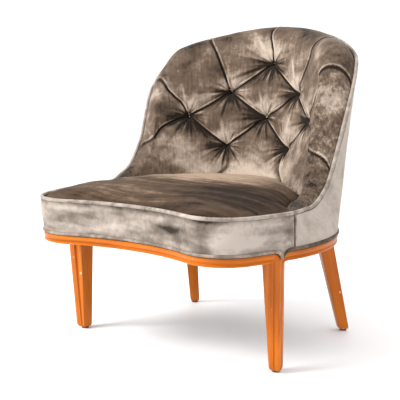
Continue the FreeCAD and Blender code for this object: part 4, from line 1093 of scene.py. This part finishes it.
def seatPiece():
    bearings = bearingRun([0, 98, 106, 254, 262, 360], [120, 30, 210, 30, 120])[None]
    reach = seatReach(bearings)
    radius = reach * (1 - np.linspace(0, 1, seat["rings"] + 1)[:-1, None] ** seat["edgePower"])
    share = np.clip(radius / (outlineRadius(bearings) - seat["inset"]), 0, 1)
    dome = (1 - share ** 3) ** 0.625
    gap = reach - radius
    inside = 1 - ease((folded(bearings) - coverEnd + 1.0) / 3.0)
    tuck = ease((folded(bearings) - 18) / 40)
    rim = seat["rim"] + 0.060 * tuck
    bend = np.sqrt(np.clip(1 - np.clip(1 - gap / rim, 0, 1) ** 2, 0, 1))
    curl = (seat["rim"] + 0.014 * tuck) * (1 - bend)
    height = seat["base"] + seat["crown"] * dome - curl * inside
    spots = polar(bearings, radius, height)
    x, y = spots[..., 0], spots[..., 1]
    # long shallow folds, held down at the rim
    stretched = np.stack([x * 1.4 + y * 0.5, y * 7 - x * 0.8], -1)
    held = ease((1 - share) / 0.12) * ease(gap / 0.03)
    spots[..., 2] += softNoise(stretched, 2.6, 41, 4) * seat["fold"] * held
    under = seat["base"] - seat["under"]
    count = bearings.shape[1]
    spots = np.concatenate([poleRow(under, count), polar(bearings, reach * 0.985, under), spots,
                            poleRow(float(height[-1].mean()), count)])
    x, y = spots[..., 0], spots[..., 1]
    toneAndShade = 0.10 - 0.10 * softNoise(spots * np.array([2, 7, 3]), 2.2, 42, 4)
    toneAndShade = toneAndShade + 0.78 * ease((y + 0.16) / 0.2) * bell(x, -0.02, 0.20)
    toneAndShade = toneAndShade - 0.42 * bell(x, 0.2, 0.12) * bell(y, -0.16, 0.14)
    piece = gridPiece("seat", spots, 70, pile=toneAndShade)
    finishPiece(piece, "velvet_seat", "seat_crowned_cover", "seat_stuffing", fill=0.8)


seatPiece()
print("seat made")

# hidden cloth and the finishes of the pieces that stay as they are
bottomCloth = {"inset": 0.030, "level": 0.2616, "sag": 0.006, "wave": 0.0008, "thickness": 0.0007}


def bottomClothPiece():
    bearings = np.linspace(0, 360, 241)[None]
    q = np.linspace(1, 0, 30)[:-1, None]
    spots = polar(bearings, outlineRadius(bearings, -bottomCloth["inset"]) * q,
                  bottomCloth["level"] - bottomCloth["sag"] * (1 - q ** 2) ** 2)
    spots[..., 2] += softNoise(spots[..., :2], 8, 51) * bottomCloth["wave"] * (1 - q ** 4)
    pole = poleRow(bottomCloth["level"] - bottomCloth["sag"], bearings.shape[1])
    piece = clothPiece("bottomCloth", np.concatenate([spots, pole]), bottomCloth["thickness"])
    finishPiece(piece, "bottom_cloth", "bottom_cloth")


bottomClothPiece()
for part in frame["record"]["subparts"]:
    if part["material_slot"] in finishes:
        materials = frame["nodes"][part["node"]].data.materials
        materials.clear()
        materials.append(finishes[part["material_slot"]])
print("kept nodes finished")

# floor and studio light
studio = {"world": (1.0, 1.0, 1.0, 1), "strength": 1.15, "floor": (0.86, 0.86, 0.86, 1), "floorSize": 24}
# place, aim, size and power of each soft box
softBoxes = {
    "keyLight": ((-1.4, -2.2, 2.1), (0, -0.05, 0.4), (1.4, 1.1), 125),
    "fillLight": ((2.6, -0.4, 1.4), (0, 0, 0.45), (1.6, 1.6), 8),
    "topLight": ((0.2, 0.4, 2.8), (0, 0, 0.3), (2.0, 1.6), 18),
}
bpy.ops.object.select_all(action="DESELECT")
bpy.ops.mesh.primitive_grid_add(
    x_subdivisions=8, y_subdivisions=8, size=studio["floorSize"], location=(0, 4, 0))
floor = bpy.context.object
floor.name = "floor"
floorFinish = Finish("pale_floor")
floorFinish.set(Base_Color=studio["floor"], Roughness=0.55, Specular_IOR_Level=0.3)
floor.data.materials.append(floorFinish.material)
world = bpy.data.worlds.new("studio")
bpy.context.scene.world = world
world.use_nodes = True
background = world.node_tree.nodes["Background"].inputs
background["Color"].default_value = studio["world"]
background["Strength"].default_value = studio["strength"]
for name, (place, aim, size, power) in softBoxes.items():
    bpy.ops.object.light_add(type="AREA", location=place)
    lamp = bpy.context.object
    lamp.name = name
    x, y, z = np.array(aim) - np.array(place)
    lamp.rotation_euler = (math.atan2(math.hypot(x, y), -z), 0, math.atan2(y, x) - math.pi / 2)
    lamp.data.shape = "RECTANGLE"
    lamp.data.size, lamp.data.size_y = size
    lamp.data.energy = power
bpy.context.scene.view_settings.view_transform = "Standard"
print("floor and lights placed")
